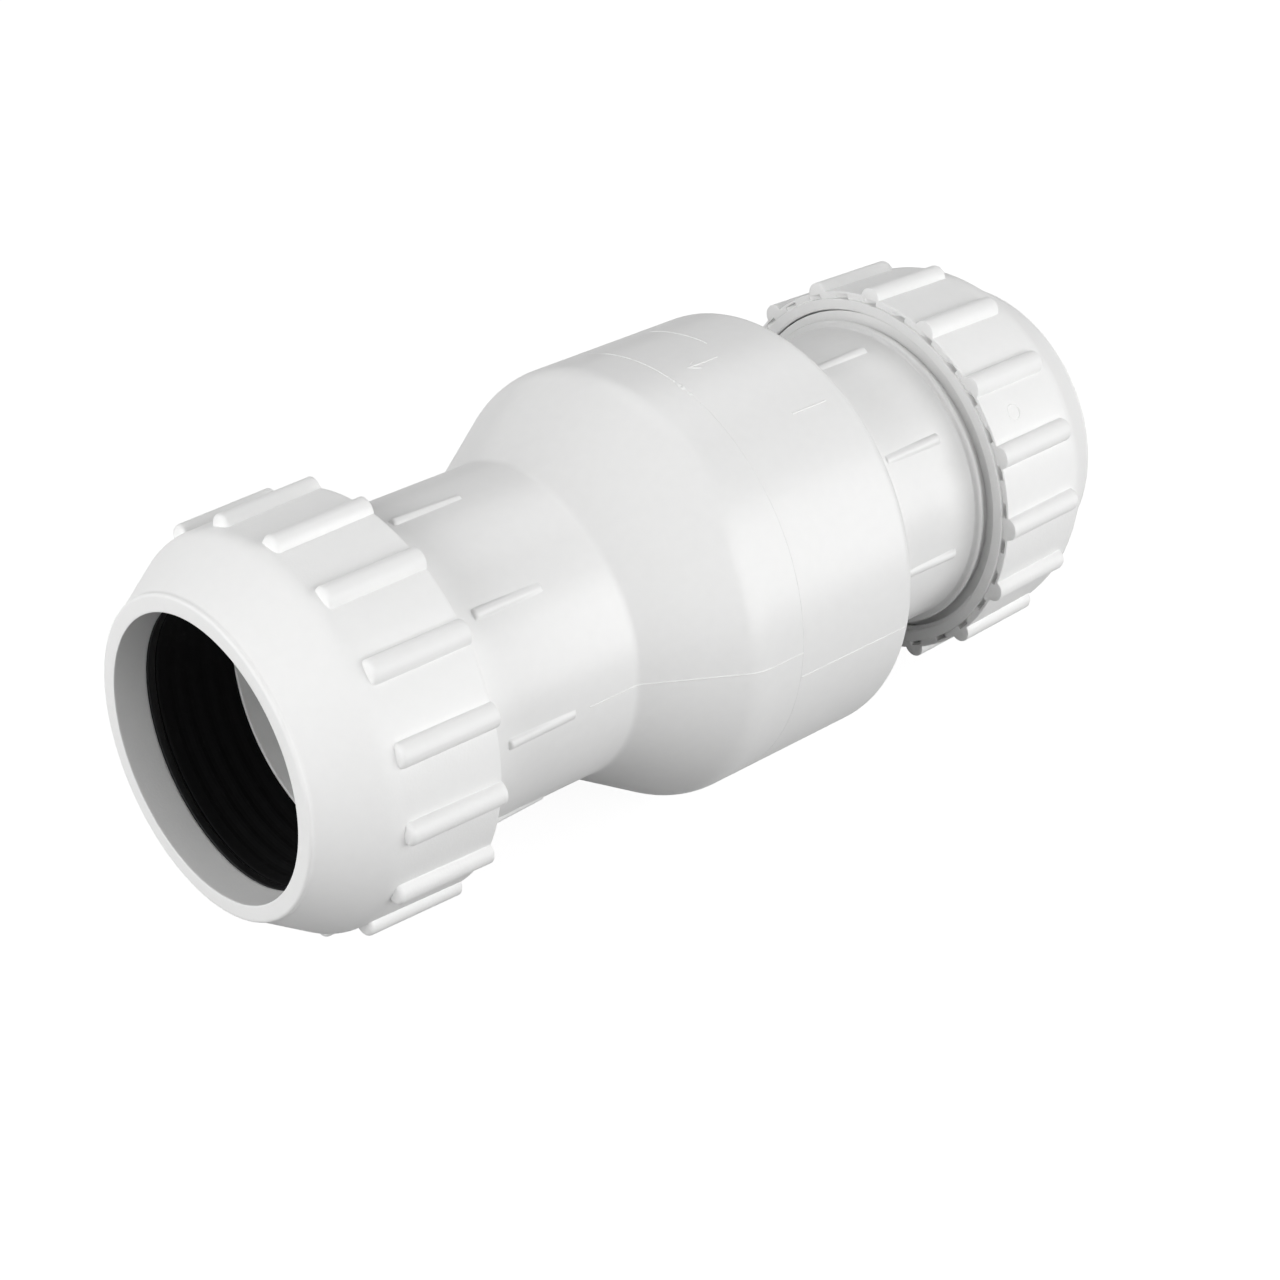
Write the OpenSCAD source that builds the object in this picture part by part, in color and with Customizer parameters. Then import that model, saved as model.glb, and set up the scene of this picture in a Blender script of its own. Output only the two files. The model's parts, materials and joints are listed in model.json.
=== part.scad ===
// Swing non-return valve with a compression joint at each end, in moulded plastic.
// The pipe axis is X, the flow runs towards -X and the flapper's hinge is at the top.
// The origin is on the pipe axis, midway between the two nut faces.

/* [Pipe ends] */
// Outside diameter of the pipe that each end takes
pipe_d = 48.26; // [46:0.01:50]
// Gap all round between the pipe and its socket
pipe_gap = 0.32; // [0.1:0.01:0.5]
// Depth of the pipe stop, measured in from the nut's outer face
pipe_depth = 59.5; // [56:0.5:62]
// Diameter of the flow passage between the two pipe stops
flow_d = 40.8; // [38:0.1:42]
// Wall of the socket round the pipe
socket_wall = 4; // [3.6:0.1:5]
// Number of thin moulded ribs round each socket
socket_ribs = 8; // [4:1:12]
// Length of a thin rib on the outlet socket
outlet_rib_len = 14.2; // [8:0.1:15]
// Length of a thin rib on the inlet socket
inlet_rib_len = 12; // [8:0.1:15]
// Gap between the outlet nut's rim and the thin ribs
outlet_rib_gap = 6.6; // [4:0.1:8]
// Gap between the inlet nut's rim and the thin ribs
inlet_rib_gap = 5.9; // [4:0.1:8]
// Height of a thin socket rib at its end near the nut
socket_rib_rise = 0.75; // [0.4:0.05:1]
// Diameter of the rod that shapes a thin socket rib
socket_rib_d = 2.2; // [1.8:0.1:3]

/* [Compression joint] */
// Wall of the rubber gasket
gasket_wall = 2.9; // [2.4:0.1:3.4]
// Length of the rubber gasket
gasket_len = 15.3; // [12:0.1:18]
// How much wider the relaxed gasket is than the socket, on the radius
gasket_ease = 0.12; // [0.1:0.01:0.2]
// How far the gasket stands out of the socket's mouth before it is squeezed
gasket_proud = 2.5; // [1:0.1:4]
// Thickness of the slip ring between nut and gasket
slip_ring_t = 1.6; // [1:0.1:2.5]
// Plastic left between the gasket and the root of the socket's thread
mouth_wall = 1.65; // [1.4:0.05:2.5]
// Room between the roots of the two threads, measured along a radius
thread_room = 2.4; // [1.8:0.1:3]
// Diameter of the round bead that ends the thread
bead_d = 2; // [1.8:0.1:2.6]
// How far the bead stands above the root of the thread
bead_rise = 1.4; // [1:0.1:1.6]
// Gap between the nut's rim and the middle of the bead
bead_gap = 0.2; // [0:0.1:2]

/* [Nut] */
// Length of a nut
nut_len = 32.1; // [30:0.1:36]
// Thickness of the lip at the nut's outer face
nut_lip = 6.4; // [4:0.1:8]
// Gap all round between the pipe and the nut's lip
nut_gap = 0.47; // [0.3:0.01:1]
// Width of the flat face round the nut's hole
nut_face_w = 3.1; // [1.5:0.1:4]
// Height of the ring round the nut's hole, in front of the cone
nut_face_h = 0.9; // [0.5:0.1:1.5]
// Wall of the nut round its thread, at the front
nut_wall = 2.8; // [2.4:0.05:3.5]
// How much wider the nut is at its rim than at the front, on the radius
nut_draft = 0.65; // [0.4:0.05:1.2]
// Slope of the nut's cone, measured from the pipe axis
nut_cone_angle = 33; // [25:1:40]
// Radius that blends the nut's cone into its side
nut_blend_r = 5; // [2:0.5:8]
// Number of grip ribs round a nut
rib_count = 16; // [8:1:20]
// Diameter of the rod that shapes a grip rib
rib_d = 4.3; // [3:0.1:5]
// How far a grip rib stands out of the nut's side, at the front
rib_rise = 1.95; // [0.8:0.05:2.1]
// Length of a grip rib
rib_len = 18.6; // [14:0.1:20]
// Rounding of a grip rib's front end
rib_end_r = 0.8; // [0.3:0.1:1.4]
// Number of pockets in the nut's rim
pocket_count = 30; // [16:1:40]
// Angle that one pocket spans
pocket_angle = 5; // [3:0.5:6]
// Depth of a pocket at its deep end
pocket_depth = 2.2; // [1:0.1:4]
// Width of a pocket, measured along a radius
pocket_w = 0.85; // [0.5:0.05:1]
// Width of the flat ring inside the pockets
rim_ring_w = 2.1; // [1.6:0.05:2.2]
// How far that ring stands out past the pocketed rim
rim_step = 0.4; // [0.2:0.05:0.8]
// Chamfer inside that ring
rim_chamfer = 0.5; // [0.2:0.05:0.8]
// Turn of the outlet nut about the pipe axis
outlet_nut_turn = 19.8; // [0:0.1:22.5]
// Turn of the inlet nut about the pipe axis
inlet_nut_turn = 9.7; // [0:0.1:22.5]

/* [Housing] */
// Distance from the outlet pipe stop to the foot of the cone
cone_past_stop = 7; // [6:0.1:20]
// Distance from the foot of the cone to the chamber's rear face
chamber_len = 56.3; // [54:0.1:66]
// Distance from the chamber's rear face to the inlet pipe stop
stop_past_rear = 0.7; // [0.5:0.1:15]
// Outside diameter of the chamber
chamber_d = 78.6; // [77:0.1:86]
// Slope of the cone, measured from the pipe axis
cone_angle = 31; // [28:1:38]
// Radius that blends the cone into the chamber
cone_blend_r = 8; // [3:0.5:10]
// Rounding of the chamber's rear edge
rear_edge_r = 2.2; // [1:0.1:3]
// Wall of the inlet housing round the chamber
inlet_wall = 3.3; // [2.8:0.1:4]
// Wall of the outlet housing's spigot
spigot_wall = 2.9; // [2.4:0.1:3.4]
// Gap for the weld between the two housings, on the radius
weld_gap = 0.1; // [0.05:0.01:0.2]
// Chamfer on each side of the joint line
joint_chamfer = 0.22; // [0.1:0.01:0.5]
// Distance from the foot of the cone to the joint line of the housings
joint_at = 27.8; // [22:0.1:32]
// Thickness of the chamber's rear wall
rear_wall = 4; // [3:0.1:5]
// Wall of the cone, measured along a radius
cone_wall = 4.6; // [4:0.1:6]
// Turn of the outlet housing against the inlet housing, as they were welded
outlet_housing_turn = 7.2; // [0:0.1:45]

/* [Seat] */
// Wall of the seat's tube round the port
seat_wall = 4.6; // [4:0.1:5.5]
// Lean of the seat from upright, so that the flapper closes by its weight
seat_tilt = 12; // [8:0.5:15]
// Height of the raised seat lip
seat_lip_h = 0.8; // [0.5:0.1:1.5]
// Width of the raised seat lip
seat_lip_w = 1.9; // [1.2:0.1:2.4]
// Width of the flat between the port and the seat lip
lip_step = 0.5; // [0.3:0.1:1]
// Thickness of the seat carrier's flange
carrier_flange_t = 4; // [3.5:0.1:5]
// Thickness of the carrier's rubber seal
seal_d = 2.2; // [1.6:0.1:2.6]

/* [Flapper] */
// Gap between the hinge barrel and the chamber's inside, above it
hinge_room = 3.1; // [2.5:0.1:5]
// How far the rubber facing reaches past the seat lip
facing_margin = 0.9; // [0.5:0.1:1.2]
// Thickness of the rubber facing
facing_t = 2.4; // [1.5:0.1:3.5]
// Thickness of the flapper plate
plate_t = 3.6; // [3:0.1:5]
// Height of the ribs on the back of the flapper plate
plate_rib_h = 1.8; // [1:0.1:2.5]
// Number of ribs on the back of the flapper plate
plate_ribs = 6; // [3:1:10]
// Thickness of the plate that clamps the facing
retainer_t = 1.2; // [0.8:0.1:2]
// Gap between that plate's edge and the port
retainer_gap = 3; // [2:0.1:5]
// Diameter of the screw that holds the facing
screw_d = 4; // [3:0.1:5]
// Width of its nut across the flats
screw_nut_af = 7; // [6:0.1:9]
// Gap between the closed facing and the seat lip
seat_gap = 0.15; // [0.1:0.01:0.4]

/* [Hinge] */
// Diameter of the hinge pin
pin_d = 3.2; // [2.5:0.1:4]
// Running gap round the hinge pin
pin_gap = 0.06; // [0.02:0.01:0.1]
// Wall of the hinge barrel round the pin
barrel_wall = 1.6; // [1.3:0.1:1.8]
// Length of the hinge barrel
barrel_len = 12.4; // [8:0.1:14]
// Thickness of a hinge ear
ear_t = 3; // [2:0.1:3.2]
// Side gap between barrel and ear
ear_gap = 0.3; // [0.2:0.05:0.5]
// Distance from the edge of the plate to the hinge axis
hinge_margin = 4; // [3.6:0.1:4.4]

/* [Hidden] */
$fn = 96;

pvc_white = [0.93, 0.93, 0.92];
rubber_black = [0.04, 0.04, 0.045];
steel = [0.72, 0.73, 0.75];

// Overlap of solids that are joined, and overshoot of cuts
joined = 0.5;
// Gap between pieces that meet but move apart
meet_gap = 0.1;
// Gap between pieces that stay together
fit_gap = 0.03;
// Small chamfer on a moulded edge
edge = 0.3;
// Steps in a drawn arc
arc_steps = 10;

// Pipe end, in radii and in distances from the nut's outer face
pipe_r = pipe_d / 2;
socket_bore_r = pipe_r + pipe_gap;
socket_r = socket_bore_r + socket_wall;
flow_r = flow_d / 2;
gasket_bore_r = socket_bore_r + gasket_ease;
gasket_r = gasket_bore_r + gasket_wall;
mouth_r = gasket_r + fit_gap;
thread_root_r = mouth_r + mouth_wall;
nut_thread_r = thread_root_r + thread_room;
nut_bore_r = pipe_r + nut_gap;
nut_r = nut_thread_r + nut_wall;
nut_rim_r = nut_r + nut_draft;
rim_ring_r = nut_thread_r + rim_ring_w;
bead_r = bead_d / 2;
bead_ring_r = thread_root_r + bead_rise - bead_r;
slip_ring_r = (gasket_r + thread_root_r) / 2;
slip_ring_at = nut_lip + meet_gap;
nut_seat_r = slip_ring_r + meet_gap;
gasket_at = slip_ring_at + slip_ring_t + meet_gap;
gasket_end = gasket_at + gasket_len;
mouth_at = gasket_at + gasket_proud;
mouth_chamfer = mouth_wall / 2;
bead_at = nut_len + bead_gap;
bead_start = acos(max(-1, (thread_root_r - bead_ring_r) / bead_r));
bead_foot_r = 0.4;

// Housing, along the pipe axis
outlet_face_x = -(2 * pipe_depth + cone_past_stop + chamber_len + stop_past_rear) / 2;
inlet_face_x = -outlet_face_x;
cone_foot_x = outlet_face_x + pipe_depth + cone_past_stop;
chamber_rear_x = cone_foot_x + chamber_len;
joint_x = cone_foot_x + joint_at;
chamber_r = chamber_d / 2;
chamber_bore_r = chamber_r - inlet_wall;
spigot_r = chamber_bore_r - weld_gap;
chamber_in_r = spigot_r - spigot_wall;
cone_in_foot_x = cone_foot_x - (socket_r - cone_wall - flow_r) / tan(cone_angle);
rear_wall_x = chamber_rear_x - rear_wall;
carrier_face_x = rear_wall_x - carrier_flange_t;
rear_foot_r = 1.5;

// Seat and flapper. In the seat's frame +X runs up the seat and +Z leaves it towards the outlet.
// The hinge hangs from the chamber's inside, and the flapper, seat and port are sized from it.
pin_r = pin_d / 2;
barrel_bore_r = pin_r + pin_gap;
barrel_r = barrel_bore_r + barrel_wall;
plate_at = seat_gap + facing_t;
plate_back = plate_at + plate_t;
hinge_out = plate_at + plate_t / 2;
hinge_z = chamber_in_r - hinge_room - barrel_r;
hinge_up = (hinge_z - hinge_out * sin(seat_tilt)) / cos(seat_tilt);
plate_r = hinge_up - hinge_margin;
plate_rib_w = 1.8;
plate_ring_r = plate_r - 1;
facing_r = plate_r + facing_margin / 2;
lip_r = facing_r - facing_margin;
lip_in_r = lip_r - seat_lip_w;
port_r = (lip_in_r - lip_step) * cos(seat_tilt);
seat_tube_r = port_r + seat_wall;
seat_x = carrier_face_x - seat_tube_r * tan(seat_tilt) - seat_lip_h;
hinge_x = seat_x + hinge_up * sin(seat_tilt) - hinge_out * cos(seat_tilt);
ear_in_y = barrel_len / 2 + ear_gap;
ear_out_y = ear_in_y + ear_t;
retainer_r = port_r - retainer_gap;
retainer_at = seat_gap - retainer_t;
screw_r = screw_d / 2;
screw_head_h = screw_r * 1.1;
screw_head_r = screw_r * 1.8;
boss_r = screw_nut_af * 0.85;
boss_top = plate_back + plate_rib_h;
washer_t = screw_d * 0.2;
screw_nut_h = screw_d * 0.8;
screw_end = boss_top + washer_t + screw_nut_h + screw_r / 2;
seal_r = seal_d / 2;
seal_ring_r = (seat_tube_r + chamber_bore_r) / 2;
pin_head_t = pin_r * 0.7;
pin_clip_t = pin_r * 0.45;
pin_tail = pin_r;

// Points of an arc about [cx, cy] from angle a to angle b
function arc(cx, cy, r, a, b, n = arc_steps) =
    [for (i = [0:n]) [cx + r * cos(a + (b - a) * i / n), cy + r * sin(a + (b - a) * i / n)]];

// A list of points in reverse order
function backwards(points) = [for (i = [len(points) - 1:-1:0]) points[i]];

// The same outline seen from the other end of the valve
function mirrored(points) = backwards([for (p = points) [p[0], -p[1]]]);

// Turns an outline of [radius, x] points about the pipe axis
module turned(points) {
    rotate([0, 90, 0])
        rotate_extrude()
            polygon(points);
}

// Places a piece by its distance from the outlet nut's face, inwards along +Z
module at_outlet(turn = 0) {
    translate([outlet_face_x, 0, 0])
        rotate([0, 90, 0])
            rotate([0, 0, turn])
                children();
}

// Places a piece by its distance from the inlet nut's face, inwards along +Z
module at_inlet(turn = 0) {
    translate([inlet_face_x, 0, 0])
        rotate([0, -90, 0])
            rotate([0, 0, turn])
                children();
}

// Places a piece in the frame of the tilted seat
module at_seat() {
    translate([seat_x, 0, 0])
        rotate([0, seat_tilt - 90, 0])
            children();
}

// Outside of a socket from its mouth to its plain part, as [radius, distance from the nut's face]
function socket_outside() = concat(
    [
        [mouth_r, mouth_at],
        [thread_root_r - mouth_chamfer, mouth_at],
        [thread_root_r, mouth_at + mouth_chamfer]
    ],
    arc(bead_ring_r, bead_at, bead_r, -bead_start, 90),
    arc(socket_r + bead_foot_r, bead_at + bead_r + bead_foot_r, bead_foot_r, 270, 180, 3)
);

// Inside of a socket from its pipe stop out to its mouth
function socket_inside(stop_at) = [
    [flow_r, stop_at],
    [socket_bore_r, stop_at],
    [socket_bore_r, gasket_end],
    [mouth_r, gasket_end]
];

// Moves an outline along the axis
function shifted(points, d) = [for (p = points) [p[0], p[1] + d]];

// Outline of the cone and its blend into the chamber, for a wall of the given radii
function cone_line(foot_r, foot_x, top_r, blend_r) =
    let (
        tangent_r = top_r - blend_r + blend_r * cos(cone_angle),
        tangent_x = foot_x + (tangent_r - foot_r) / tan(cone_angle),
        centre_x = tangent_x + blend_r * sin(cone_angle)
    )
    concat([[foot_r, foot_x]], arc(top_r - blend_r, centre_x, blend_r, -cone_angle, 0, 8));

// Thin ribs round a socket, standing higher at the end near the nut
module socket_rib_ring(rib_len, rib_gap) {
    rod_r = socket_rib_d / 2;
    for (i = [0:socket_ribs - 1])
        rotate([0, 0, i * 360 / socket_ribs])
            translate([socket_r + socket_rib_rise - rod_r, 0, nut_len + rib_gap])
                rotate([0, -asin(socket_rib_rise * 0.6 / rib_len), 0]) {
                    translate([0, 0, rod_r])
                        cylinder(r = rod_r, h = rib_len - 2 * rod_r);
                    translate([0, 0, rod_r])
                        sphere(r = rod_r);
                    translate([0, 0, rib_len - rod_r])
                        sphere(r = rod_r);
                }
}

// Outlet half: threaded socket, cone and the spigot that is welded into the inlet half
module outlet_housing() {
    outside = cone_line(socket_r, cone_foot_x, chamber_r, cone_blend_r);
    inside = cone_line(flow_r, cone_in_foot_x, chamber_in_r, cone_blend_r);
    outline = concat(
        shifted(socket_outside(), outlet_face_x),
        outside,
        [
            [chamber_r, joint_x - joint_chamfer],
            [chamber_r - joint_chamfer, joint_x],
            [spigot_r, joint_x],
            [spigot_r, carrier_face_x],
            [chamber_in_r, carrier_face_x]
        ],
        backwards(inside),
        shifted(socket_inside(pipe_depth), outlet_face_x)
    );
    color(pvc_white)
        rotate([-outlet_housing_turn, 0, 0])
            union() {
                turned(outline);
                at_outlet()
                    socket_rib_ring(outlet_rib_len, outlet_rib_gap);
            }
}

// Inlet half: chamber, flat rear wall and the threaded inlet socket
module inlet_housing() {
    outline = concat(
        [
            [chamber_bore_r, joint_x],
            [chamber_r - joint_chamfer, joint_x],
            [chamber_r, joint_x + joint_chamfer]
        ],
        arc(chamber_r - rear_edge_r, chamber_rear_x - rear_edge_r, rear_edge_r, 0, 90, 6),
        arc(socket_r + rear_foot_r, chamber_rear_x + rear_foot_r, rear_foot_r, 270, 180, 5),
        mirrored(shifted(socket_outside(), outlet_face_x)),
        mirrored(shifted(socket_inside(pipe_depth), outlet_face_x)),
        [
            [flow_r, rear_wall_x],
            [chamber_bore_r, rear_wall_x]
        ]
    );
    color(pvc_white)
        union() {
            turned(outline);
            at_inlet()
                socket_rib_ring(inlet_rib_len, inlet_rib_gap);
        }
}

// One hinge ear, from the flange out to its round end on the hinge axis
module hinge_ear() {
    rotate([90, 0, 0])
        linear_extrude(ear_t)
            union() {
                translate([hinge_x, hinge_z])
                    circle(barrel_r);
                translate([hinge_x, hinge_z - barrel_r])
                    square([carrier_face_x - hinge_x + joined, 2 * barrel_r]);
            }
}

// Flanged carrier with the tilted seat and the two hinge ears
module seat_carrier() {
    flange_r = chamber_bore_r - weld_gap;
    color(pvc_white)
        difference() {
            union() {
                difference() {
                    translate([carrier_face_x - 2 * seat_tube_r, 0, 0])
                        rotate([0, 90, 0])
                            cylinder(r = seat_tube_r, h = 2 * seat_tube_r + joined);
                    at_seat()
                        translate([-2 * seat_tube_r, -2 * seat_tube_r, -seat_lip_h])
                            cube([4 * seat_tube_r, 4 * seat_tube_r, 3 * seat_tube_r]);
                }
                at_seat()
                    translate([0, 0, -seat_lip_h - joined])
                        difference() {
                            cylinder(r = lip_r, h = seat_lip_h + joined);
                            translate([0, 0, -joined])
                                cylinder(r = lip_in_r, h = seat_lip_h + 3 * joined);
                        }
                translate([carrier_face_x, 0, 0])
                    rotate([0, 90, 0])
                        cylinder(r = flange_r, h = carrier_flange_t);
                translate([0, -ear_in_y, 0])
                    hinge_ear();
                translate([0, ear_out_y, 0])
                    hinge_ear();
            }
            translate([seat_x - 2 * seat_tube_r, 0, 0])
                rotate([0, 90, 0])
                    cylinder(r = port_r, h = 5 * seat_tube_r);
            turned([
                [seal_ring_r - seal_r - fit_gap, rear_wall_x - seal_d + fit_gap],
                [seal_ring_r + seal_r + fit_gap, rear_wall_x - seal_d + fit_gap],
                [seal_ring_r + seal_r + fit_gap, rear_wall_x + joined],
                [seal_ring_r - seal_r - fit_gap, rear_wall_x + joined]
            ]);
            translate([hinge_x, ear_out_y + joined, hinge_z])
                rotate([90, 0, 0])
                    cylinder(r = pin_r + fit_gap, h = 2 * (ear_out_y + joined));
        }
}

// Rubber ring in the groove behind the carrier's flange
module carrier_seal() {
    color(rubber_black)
        turned(arc(seal_ring_r, rear_wall_x - seal_r + fit_gap / 2, seal_r - fit_gap, 0, 348, 29));
}

// Steel pin with a flat head
module hinge_pin() {
    color(steel)
        translate([hinge_x, 0, hinge_z])
            rotate([90, 0, 0]) {
                translate([0, 0, -ear_out_y - pin_tail])
                    cylinder(r = pin_r, h = 2 * ear_out_y + pin_tail + meet_gap + joined);
                translate([0, 0, ear_out_y + meet_gap])
                    cylinder(r = pin_r * 1.5, h = pin_head_t);
            }
}

// Spring clip on the plain end of the pin
module hinge_pin_clip() {
    color(steel)
        translate([hinge_x, ear_out_y + meet_gap, hinge_z])
            rotate([-90, 0, 0])
                difference() {
                    cylinder(r = pin_r * 1.7, h = pin_clip_t);
                    translate([0, 0, -joined])
                        cylinder(r = pin_r + fit_gap, h = pin_clip_t + 2 * joined);
                }
}

// Moulded plate that carries the facing, with ribs behind it and the hinge barrel above
module flapper_plate() {
    neck_w = barrel_len * 0.8;
    neck_from = plate_r - 4;
    color(pvc_white)
        at_seat()
            difference() {
                union() {
                    translate([0, 0, plate_at])
                        cylinder(r = plate_r, h = plate_t);
                    translate([0, 0, plate_back - joined])
                        difference() {
                            cylinder(r = plate_ring_r, h = plate_rib_h + joined);
                            translate([0, 0, -joined])
                                cylinder(r = plate_ring_r - plate_rib_w, h = plate_rib_h + 3 * joined);
                        }
                    translate([0, 0, plate_at])
                        cylinder(r = boss_r, h = boss_top - plate_at);
                    for (i = [0:plate_ribs - 1])
                        rotate([0, 0, i * 360 / plate_ribs])
                            translate([0, -plate_rib_w / 2, plate_back - joined])
                                cube([plate_ring_r - plate_rib_w / 2, plate_rib_w, plate_rib_h + joined]);
                    translate([neck_from, -neck_w / 2, plate_at])
                        cube([hinge_up - neck_from, neck_w, plate_t]);
                    translate([hinge_up, barrel_len / 2, hinge_out])
                        rotate([90, 0, 0])
                            cylinder(r = barrel_r, h = barrel_len);
                }
                translate([hinge_up, barrel_len, hinge_out])
                    rotate([90, 0, 0])
                        cylinder(r = barrel_bore_r, h = 2 * barrel_len);
                translate([0, 0, plate_at - joined])
                    cylinder(r = screw_r + fit_gap, h = boss_top);
            }
}

// A flat ring in the seat's frame, from one height to another
module seat_disc(outer_r, hole_r, from, to) {
    at_seat()
        translate([0, 0, from])
            difference() {
                cylinder(r = outer_r, h = to - from);
                translate([0, 0, -joined])
                    cylinder(r = hole_r, h = to - from + 2 * joined);
            }
}

// Rubber disc that closes on the seat lip
module flapper_facing() {
    color(rubber_black)
        seat_disc(facing_r, screw_r + fit_gap, seat_gap, plate_at);
}

// Steel plate that clamps the facing to the flapper
module facing_retainer() {
    color(steel)
        seat_disc(retainer_r, screw_r + fit_gap, retainer_at, seat_gap);
}

// Screw through retainer, facing and plate
module retainer_screw() {
    color(steel)
        at_seat() {
            translate([0, 0, retainer_at - screw_head_h])
                cylinder(r = screw_head_r, h = screw_head_h);
            translate([0, 0, retainer_at - joined])
                cylinder(r = screw_r, h = screw_end - retainer_at + joined);
        }
}

// Washer under the screw's nut
module retainer_washer() {
    color(steel)
        seat_disc(screw_nut_af * 0.72, screw_r + fit_gap, boss_top, boss_top + washer_t);
}

// Hexagon nut on the screw
module retainer_nut() {
    color(steel)
        at_seat()
            translate([0, 0, boss_top + washer_t])
                difference() {
                    cylinder(r = screw_nut_af / 2 / cos(30), h = screw_nut_h, $fn = 6);
                    translate([0, 0, -joined])
                        cylinder(r = screw_r + fit_gap, h = screw_nut_h + 2 * joined);
                }
}

// Outline of a nut, as [radius, distance from its outer face]. Its inside keeps off the cone.
function nut_outline() =
    let (
        face_r = nut_bore_r + nut_face_w,
        tangent_r = nut_r - nut_blend_r + nut_blend_r * cos(nut_cone_angle),
        tangent_z = nut_face_h + (tangent_r - face_r) / tan(nut_cone_angle),
        centre_z = tangent_z + nut_blend_r * sin(nut_cone_angle)
    )
    concat(
        [
            [nut_bore_r + edge, 0],
            [face_r - edge, 0],
            [face_r, edge],
            [face_r, nut_face_h]
        ],
        arc(nut_r - nut_blend_r, centre_z, nut_blend_r, -nut_cone_angle, 0, 8),
        [
            [nut_rim_r, nut_len - rim_step],
            [rim_ring_r, nut_len - rim_step],
            [rim_ring_r, nut_len],
            [nut_thread_r + rim_chamfer, nut_len],
            [nut_thread_r, nut_len - rim_chamfer],
            [nut_thread_r, nut_lip + (nut_thread_r - nut_seat_r) / tan(nut_cone_angle)],
            [nut_seat_r, nut_lip],
            [nut_bore_r, nut_lip],
            [nut_bore_r, edge]
        ]
    );

// One grip rib, a rod with a rounded front end that leans out with the nut's draft
module grip_rib() {
    rod_r = rib_d / 2;
    lean = atan(nut_draft / (nut_len - nut_lip));
    translate([nut_r + rib_rise - rod_r, 0, nut_len - rim_step - rib_len])
        rotate([0, lean, 0])
            rotate_extrude()
                polygon(concat(
                    [[0, rib_len + joined], [0, 0]],
                    arc(rod_r - rib_end_r, rib_end_r, rib_end_r, -90, 0, 5),
                    [[rod_r, rib_len + joined]]
                ));
}

// One pocket in the nut's rim, with a floor that rises along the rim
module rim_pocket() {
    half_len = rim_ring_r * sin(pocket_angle / 2);
    translate([rim_ring_r + fit_gap, 0, nut_len - rim_step])
        rotate([90, 0, 90])
            linear_extrude(pocket_w)
                polygon([[-half_len, joined], [-half_len, -pocket_depth], [half_len, 0], [half_len, joined]]);
}

// Ribbed compression nut with pockets moulded into its rim
module compression_nut() {
    difference() {
        union() {
            rotate_extrude()
                polygon(nut_outline());
            difference() {
                for (i = [0:rib_count - 1])
                    rotate([0, 0, i * 360 / rib_count])
                        grip_rib();
                translate([0, 0, -joined])
                    cylinder(r = (nut_thread_r + nut_r) / 2, h = nut_len + 3 * joined);
                translate([0, 0, nut_len - rim_step])
                    cylinder(r = 2 * nut_rim_r, h = nut_len);
            }
        }
        for (i = [0:pocket_count - 1])
            rotate([0, 0, i * 360 / pocket_count])
                rim_pocket();
    }
}

module outlet_nut() {
    color(pvc_white)
        at_outlet(outlet_nut_turn)
            compression_nut();
}

module inlet_nut() {
    color(pvc_white)
        at_inlet(inlet_nut_turn)
            compression_nut();
}

// Thin ring that lets the nut turn without dragging the gasket
module slip_ring() {
    translate([0, 0, slip_ring_at])
        difference() {
            cylinder(r = slip_ring_r, h = slip_ring_t);
            translate([0, 0, -joined])
                cylinder(r = nut_bore_r, h = slip_ring_t + 2 * joined);
        }
}

module outlet_slip_ring() {
    color(rubber_black)
        at_outlet()
            slip_ring();
}

module inlet_slip_ring() {
    color(rubber_black)
        at_inlet()
            slip_ring();
}

// Rubber gasket with a bevelled nose
module gasket() {
    rotate_extrude()
        polygon([
            [gasket_bore_r, gasket_at],
            [gasket_r - 2 * edge, gasket_at],
            [gasket_r, gasket_at + 2 * edge],
            [gasket_r, gasket_end - fit_gap],
            [gasket_bore_r, gasket_end - fit_gap]
        ]);
}

module outlet_gasket() {
    color(rubber_black)
        at_outlet()
            gasket();
}

module inlet_gasket() {
    color(rubber_black)
        at_inlet()
            gasket();
}

outlet_housing();
inlet_housing();
seat_carrier();
carrier_seal();
hinge_pin();
hinge_pin_clip();
flapper_plate();
flapper_facing();
facing_retainer();
retainer_screw();
retainer_washer();
retainer_nut();
outlet_nut();
inlet_nut();
outlet_slip_ring();
inlet_slip_ring();
outlet_gasket();
inlet_gasket();
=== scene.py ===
"""Swing non-return valve with a compression joint at each end, in moulded white plastic.

Laid out as an add-on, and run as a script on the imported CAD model.
Lengths are in metres, in the CAD model's frame: X is the pipe axis with the inlet at +X, and Z is up.
A clock angle turns about the pipe axis: 0 points along -Y and 90 straight up.
"""
import json
import math
import bmesh
import bpy
from mathutils import Matrix, Vector


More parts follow.
